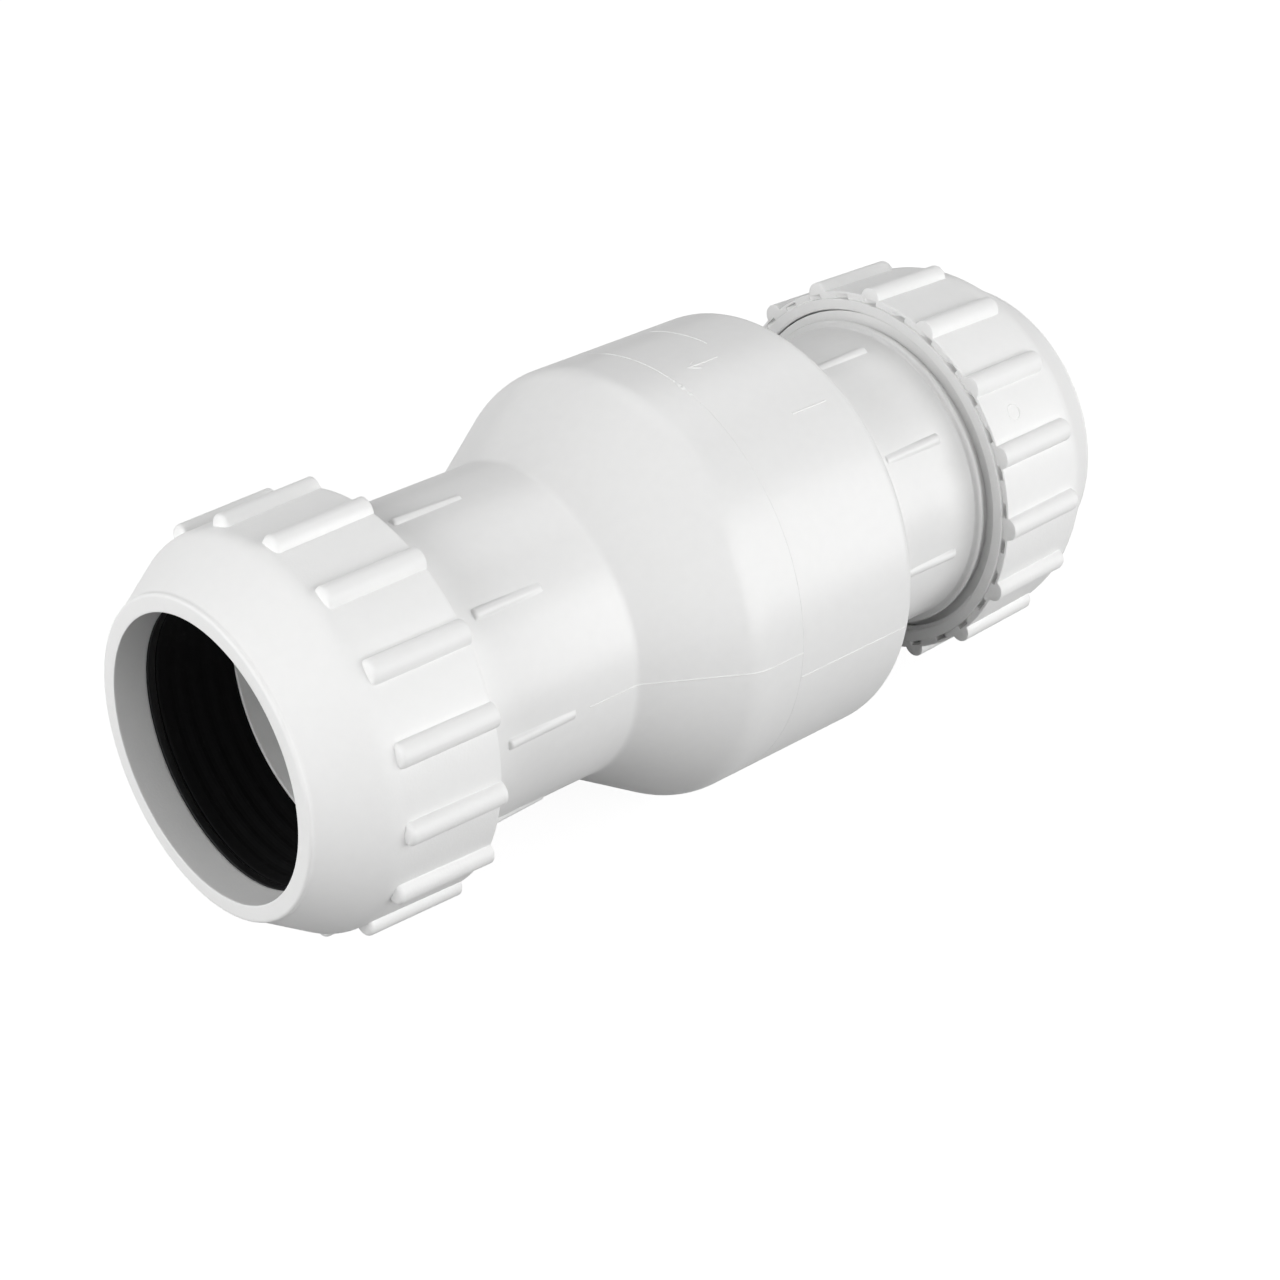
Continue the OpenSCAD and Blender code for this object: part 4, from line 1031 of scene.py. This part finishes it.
def build_flapper():
    """The flapper: ribbed plate, rubber facing, retainer, and the screw that clamps them."""
    f = settings().flapper
    seat = Matrix.Translation((f.seat_at, 0, 0)) @ Matrix.Rotation(-f.seat_tilt, 4, "Y")
    softened_copy("flapper_plate_body", "flapper_plate", "flapper", "housing_plastic")
    under = f.facing_at - f.retainer_thickness
    facing = ring_outline(f.facing_at, f.facing_top, f.hole, f.facing, 0.5 * MM)
    retainer = ring_outline(under, f.facing_at, f.hole, f.retainer, 0.35 * MM)
    washer = ring_outline(f.washer_at, f.washer_top, f.hole, f.washer, 0.15 * MM)
    for name, node, slot, column, repeats, steps, open_rows in (
            ("facing_disc", "flapper_facing", "seal_rubber", facing, 24, 4, 0),
            ("retainer_disc", "facing_retainer", "stainless_steel", retainer, 24, 4, 0),
            ("screw_body", "retainer_screw", "stainless_steel", lambda a: screw_column(f, a), 6, 10, 1),
            ("washer_ring", "retainer_washer", "stainless_steel", washer, 24, 4, 0),
            ("hex_nut_body", "retainer_nut", "stainless_steel", lambda a: hex_nut_column(f, a), 6, 12, 0)):
        turned_piece(name, node, "flapper", slot, seat, column, repeats, steps, open_rows)
    start, end = f.shank + 0.6 * MM, f.screw_end - 0.3 * MM
    thread = new_piece("screw_thread", [], [], [])
    run_tree(thread, thread_tree(), "stainless_steel", radius=f.screw_root, lead=f.screw_lead,
             turns=(end - start) / f.screw_lead, height=f.screw - f.screw_root, base=0.62 * MM,
             crest=0.12 * MM, sink=0.05 * MM, side=1.0, start_size=0.1, end_size=0.1, run_out=0.06)
    finish_piece(thread, "flapper", seat @ Matrix.Translation((0, 0, start)))


def build_hinge():
    """The seat carrier with the hinge's ears, the hinge pin and its clip."""
    f = settings().flapper
    softened_copy("seat_carrier_body", "seat_carrier", "valve_body", "housing_plastic")
    hinge = Matrix.Translation((f.hinge_x, 0, f.hinge_z)) @ Matrix.Rotation(math.radians(-90), 4, "X")
    chamfer = 0.35 * MM
    pin = soften([(-f.pin_head_end, 0, 0, 0), (-f.pin_head_end, f.pin_head, 0.45 * MM, 4),
                  (-f.pin_head_at, f.pin_head, 0.15 * MM, 2), (-f.pin_head_at, f.pin, 0.1 * MM, 1),
                  (f.pin_end - chamfer, f.pin, 0, 0), (f.pin_end, f.pin - chamfer, 0, 0),
                  (f.pin_end, 0, 0, 0)])
    turned_piece("pin_body", "hinge_pin", "valve_body", "stainless_steel", hinge, pin, 12, 4, 1)
    half, steps = f.clip_gap / 2, 48
    outline = ring_outline(f.pin_head_at, f.pin_head_at + f.clip_thickness, f.clip_bore, f.clip, 0.12 * MM)
    clip = turned_sector("clip_body", [half + (math.tau - f.clip_gap) * k / steps for k in range(steps + 1)],
                         lambda a: outline, caps=True)
    run_tree(clip, repeat_tree(), "stainless_steel", count=1, weld_distance=WELD_DISTANCE)
    finish_piece(clip, "valve_body", hinge, "hinge_pin_clip")


def surface_point(x, r, clock):
    """A point at a distance from the origin, a radius from the pipe axis and a clock angle."""
    return Vector((x, -r * math.cos(clock), r * math.sin(clock)))


def raised_line(name, path, radius, uneven, body="valve_body", slot="housing_plastic"):
    """A fine raised line along a path of points, on a housing if no other body is given."""
    piece = new_piece(name, path, [(k, k + 1) for k in range(len(path) - 1)], [])
    run_tree(piece, line_tree(), slot, radius=radius, uneven=uneven)
    finish_piece(piece, body, Matrix())


def cone_line(start, finish):
    """Outside of the outlet housing from start to finish, clear of the thin ribs, as places and radii."""
    h, slack = settings().housing, 1e-6
    line = []
    for z, r in outlet_housing_column(h, math.pi / h.ribs):
        x = OUTLET_FACE + z
        if start - slack <= x <= finish + slack:
            line.append((x, r))
        elif line:
            break
    return line


def build_marks():
    """Parting, ring, weld and short lines and a flow arrow on the housings, and the inlet nut's gate mark."""
    h, m = settings().housing, settings().marks
    low = m.line - m.line_rise

    def on_chamber(x, clock, depth=low):
        return surface_point(x, CHAMBER - depth, clock)

    seam = [(-m.outlet_seam, h.socket)] + cone_line(-m.outlet_seam, h.joint - h.joint_chamfer)
    for side, name in ((0, "front"), (math.pi, "back")):
        outlet = [surface_point(x, r - low, side + h.outlet_turn) for x, r in seam]
        raised_line("outlet_parting_line_" + name, outlet, m.line, m.uneven)
        inlet = [on_chamber(x, side) for x in (h.joint + EDGE_ROW, h.rear - h.rear_edge)]
        raised_line("inlet_parting_line_" + name, inlet, m.line, m.uneven)
    steps = 40
    for name, x, first, last, depth, radius, uneven in (
            ("ring_line", m.ring_line, m.ring_start, m.ring_end, low + m.ring_sink, m.line, m.uneven),
            ("weld_line", h.joint, m.weld_start, m.weld_end, low + m.weld_sink, m.line, m.uneven),
            ("weld_beads", h.joint, m.weld_end, m.beads_end, m.bead_sink * m.line, m.bead_size * m.line,
             m.bead_uneven)):
        arc = [on_chamber(x, first + (last - first) * k / steps, depth) for k in range(steps + 1)]
        raised_line(name, arc, radius, uneven)
    short = [on_chamber(x, m.short_clock) for x in (m.short_start, m.short_end)]
    raised_line("short_line", short, m.short_size * m.line, m.uneven)

    top, barb = math.pi / 2, m.arrow_head * m.arrow_barb / CHAMBER
    tip = on_chamber(m.arrow_at, top)
    raised_line("flow_arrow_shaft", [tip, on_chamber(m.arrow_at + m.arrow_length, top)], m.line, m.uneven)
    back, front = [on_chamber(m.arrow_at + m.arrow_head, top + side * barb) for side in (-1, 1)]
    raised_line("flow_arrow_head", [back, tip, front], m.line, m.uneven)

    side = nut_side(settings().nut, INLET_FACE - m.gate_at) + m.gate_rise * m.gate_line
    circle = []
    for k in range(steps + 1):
        a = math.tau * k / steps
        clock = m.gate_clock + m.gate * math.sin(a) / side
        circle.append(surface_point(m.gate_at + m.gate * math.cos(a), side, clock))
    raised_line("inlet_nut_gate_mark", circle, m.gate_line, m.gate_uneven, "inlet_nut", "nut_plastic")


def make_camera(s):
    """A camera at the stage settings' angle, distance and roll."""
    out = math.cos(s.elevation)
    back = Vector((math.sin(s.azimuth) * out, -math.cos(s.azimuth) * out, math.sin(s.elevation)))
    level = Vector((math.cos(s.azimuth), math.sin(s.azimuth), 0))
    right = level * math.cos(s.roll) + back.cross(level) * math.sin(s.roll)
    data = bpy.data.cameras.new("Camera")
    data.lens = s.lens
    data.sensor_width = 36
    data.sensor_fit = "HORIZONTAL"
    data.clip_start = 0.01
    camera = add_object("Camera", data)
    turn = Matrix((right, back.cross(right), back)).transposed().to_4x4()
    camera.matrix_world = Matrix.Translation(Vector(s.aim) + back * s.distance) @ turn
    return camera


def make_lamp(name, around, above, width, height, glow):
    """A soft box that points at the object. Its angles are from +X and from the horizon."""
    data = bpy.data.lights.new(name, "AREA")
    data.shape = "RECTANGLE"
    data.size, data.size_y = width, height
    data.energy = glow * math.pi * width * height
    lamp = add_object(name, data)
    spot = Vector((math.cos(around) * math.cos(above), math.sin(around) * math.cos(above), math.sin(above)))
    turn = spot.to_track_quat("Z", "Y").to_matrix().to_4x4()
    lamp.matrix_world = Matrix.Translation(spot * LAMP_DISTANCE) @ turn


def make_floor(height):
    """A plain floor with a soft shadow. The camera sees it near white at the object and white far away."""
    reach = 4.0
    corners = [Vector((x * reach, y * reach, height)) for x, y in ((-1, -1), (1, -1), (1, 1), (-1, 1))]
    mesh = bpy.data.meshes.new("Floor")
    mesh.from_pydata(corners, [], [(0, 1, 2, 3)])
    floor = add_object("Floor", mesh)
    material = bpy.data.materials.new("Floor")
    material.use_nodes = True
    tree = material.node_tree
    tree.nodes.clear()
    rays = add_node(tree, "ShaderNodeLightPath").outputs
    place = add_node(tree, "ShaderNodeTexCoord").outputs["Object"]
    away = add_node(tree, "ShaderNodeVectorMath", {0: place}, operation="LENGTH").outputs["Value"]
    fading = add_node(tree, "ShaderNodeMapRange", {
        "Value": away, "From Min": 0.3, "From Max": 1.2, "To Min": 0.92, "To Max": 1.0}).outputs[0]
    surface = add_node(tree, "ShaderNodeBsdfDiffuse", {"Color": (0.05, 0.05, 0.05, 1)})
    for ray, paint, glow in (("Is Transmission Ray", 0.7, 0.2), ("Is Glossy Ray", 0.7, 0.2),
                             ("Is Camera Ray", 0.2, fading)):
        pale = add_node(tree, "ShaderNodeBsdfDiffuse", {"Color": (paint, paint, paint, 1)})
        white = add_node(tree, "ShaderNodeEmission", {"Color": (1, 1, 1, 1), "Strength": glow})
        lit = add_node(tree, "ShaderNodeAddShader", {0: pale.outputs[0], 1: white.outputs[0]})
        surface = add_node(tree, "ShaderNodeMixShader", {
            0: rays[ray], 1: surface.outputs[0], 2: lit.outputs[0]})
    add_node(tree, "ShaderNodeOutputMaterial", {"Surface": surface.outputs[0]})
    mesh.materials.append(material)
    floor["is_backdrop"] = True


def make_world(strength):
    """A white surround for the camera and for reflections, and a dim one for soft light."""
    world = bpy.data.worlds.new("Studio")
    world.use_nodes = True
    tree = world.node_tree
    tree.nodes.clear()
    rays = add_node(tree, "ShaderNodeLightPath").outputs
    seen = calc(tree, "MAXIMUM", rays["Is Camera Ray"], rays["Is Glossy Ray"])
    dim, white = [add_node(tree, "ShaderNodeBackground", {"Color": (1, 1, 1, 1), "Strength": glow}).outputs[0]
                  for glow in (strength, 1.0)]
    both = add_node(tree, "ShaderNodeMixShader", {0: seen, 1: dim, 2: white})
    add_node(tree, "ShaderNodeOutputWorld", {"Surface": both.outputs[0]})
    bpy.context.scene.world = world


class ValvePiece:
    """What the valve's operators share"""
    bl_options = {"REGISTER", "UNDO"}


class MakeStage(ValvePiece, bpy.types.Operator):
    """Add the floor, the lamps and the camera at the photograph's angle"""
    bl_idname = "check_valve.make_stage"
    bl_label = "Stage and camera"

    def execute(self, context):
        s = settings().stage
        context.scene.camera = make_camera(s)
        context.scene.view_settings.view_transform = "Standard"
        make_floor(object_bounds()[0][2])
        make_world(s.surround)
        for name, around, above, width, height, glow in LAMPS:
            make_lamp(name, math.radians(around), math.radians(above), width, height, glow * s.light)
        return {"FINISHED"}


class MakeNuts(ValvePiece, bpy.types.Operator):
    """Build the two ribbed compression nuts"""
    bl_idname = "check_valve.make_nuts"
    bl_label = "Compression nuts"

    def execute(self, context):
        build_nut("outlet")
        build_nut("inlet")
        return {"FINISHED"}


class MakeHousings(ValvePiece, bpy.types.Operator):
    """Build the two welded housings with their sockets"""
    bl_idname = "check_valve.make_housings"
    bl_label = "Housings"

    def execute(self, context):
        build_housing("outlet")
        build_housing("inlet")
        return {"FINISHED"}


class MakeThreads(ValvePiece, bpy.types.Operator):
    """Build the threads of the sockets and of the nuts"""
    bl_idname = "check_valve.make_threads"
    bl_label = "Threads"

    def execute(self, context):
        build_threads("outlet")
        build_threads("inlet")
        return {"FINISHED"}


class MakeMarks(ValvePiece, bpy.types.Operator):
    """Build the raised lines and the flow arrow on the housings, and the inlet nut's gate mark"""
    bl_idname = "check_valve.make_marks"
    bl_label = "Parting lines and marks"

    def execute(self, context):
        build_marks()
        return {"FINISHED"}


class MakeSeals(ValvePiece, bpy.types.Operator):
    """Build the gaskets, the slip rings and the seal behind the seat"""
    bl_idname = "check_valve.make_seals"
    bl_label = "Seals and slip rings"

    def execute(self, context):
        build_seals()
        return {"FINISHED"}


class MakeFlapper(ValvePiece, bpy.types.Operator):
    """Build the flapper with its facing and its screw"""
    bl_idname = "check_valve.make_flapper"
    bl_label = "Flapper"

    def execute(self, context):
        build_flapper()
        return {"FINISHED"}


class MakeHinge(ValvePiece, bpy.types.Operator):
    """Build the seat carrier, the hinge pin and its clip"""
    bl_idname = "check_valve.make_hinge"
    bl_label = "Seat carrier and hinge"

    def execute(self, context):
        build_hinge()
        return {"FINISHED"}


class ValvePanel(bpy.types.Panel):
    """Lists the valve's pieces in the sidebar"""
    bl_idname = "VIEW3D_PT_check_valve"
    bl_label = "Check valve"
    bl_space_type = "VIEW_3D"
    bl_region_type = "UI"
    bl_category = "Check valve"

    def draw(self, context):
        for operator in OPERATORS:
            self.layout.operator(operator.bl_idname)
        for group in ("nut", "housing", "thread", "marks", "seals", "flapper", "finish", "stage"):
            sizes = getattr(settings(), group)
            box = self.layout.box()
            box.label(text=group.capitalize())
            for key in sizes.bl_rna.properties.keys():
                if key not in ("rna_type", "name"):
                    box.prop(sizes, key)


OPERATORS = (MakeStage, MakeHousings, MakeNuts, MakeThreads, MakeMarks, MakeSeals, MakeFlapper, MakeHinge)
CLASSES = (NutSizes, HousingSizes, ThreadSizes, MarkSizes, SealSizes, FlapperSizes, Finishes, StageSettings,
           ValveSettings) + OPERATORS + (ValvePanel,)


def register():
    """Adds the valve's classes and its settings to Blender."""
    for cls in CLASSES:
        bpy.utils.register_class(cls)
    bpy.types.Scene.check_valve = bpy.props.PointerProperty(type=ValveSettings)


def unregister():
    """Takes the valve's settings and classes out again."""
    del bpy.types.Scene.check_valve
    for cls in reversed(CLASSES):
        bpy.utils.unregister_class(cls)


def main():
    """Builds the whole valve."""
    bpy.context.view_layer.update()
    register()
    bpy.ops.check_valve.make_stage()
    bpy.ops.check_valve.make_housings()
    bpy.ops.check_valve.make_nuts()
    bpy.ops.check_valve.make_threads()
    bpy.ops.check_valve.make_marks()
    bpy.ops.check_valve.make_seals()
    bpy.ops.check_valve.make_flapper()
    bpy.ops.check_valve.make_hinge()


if __name__ == "__main__":
    main()
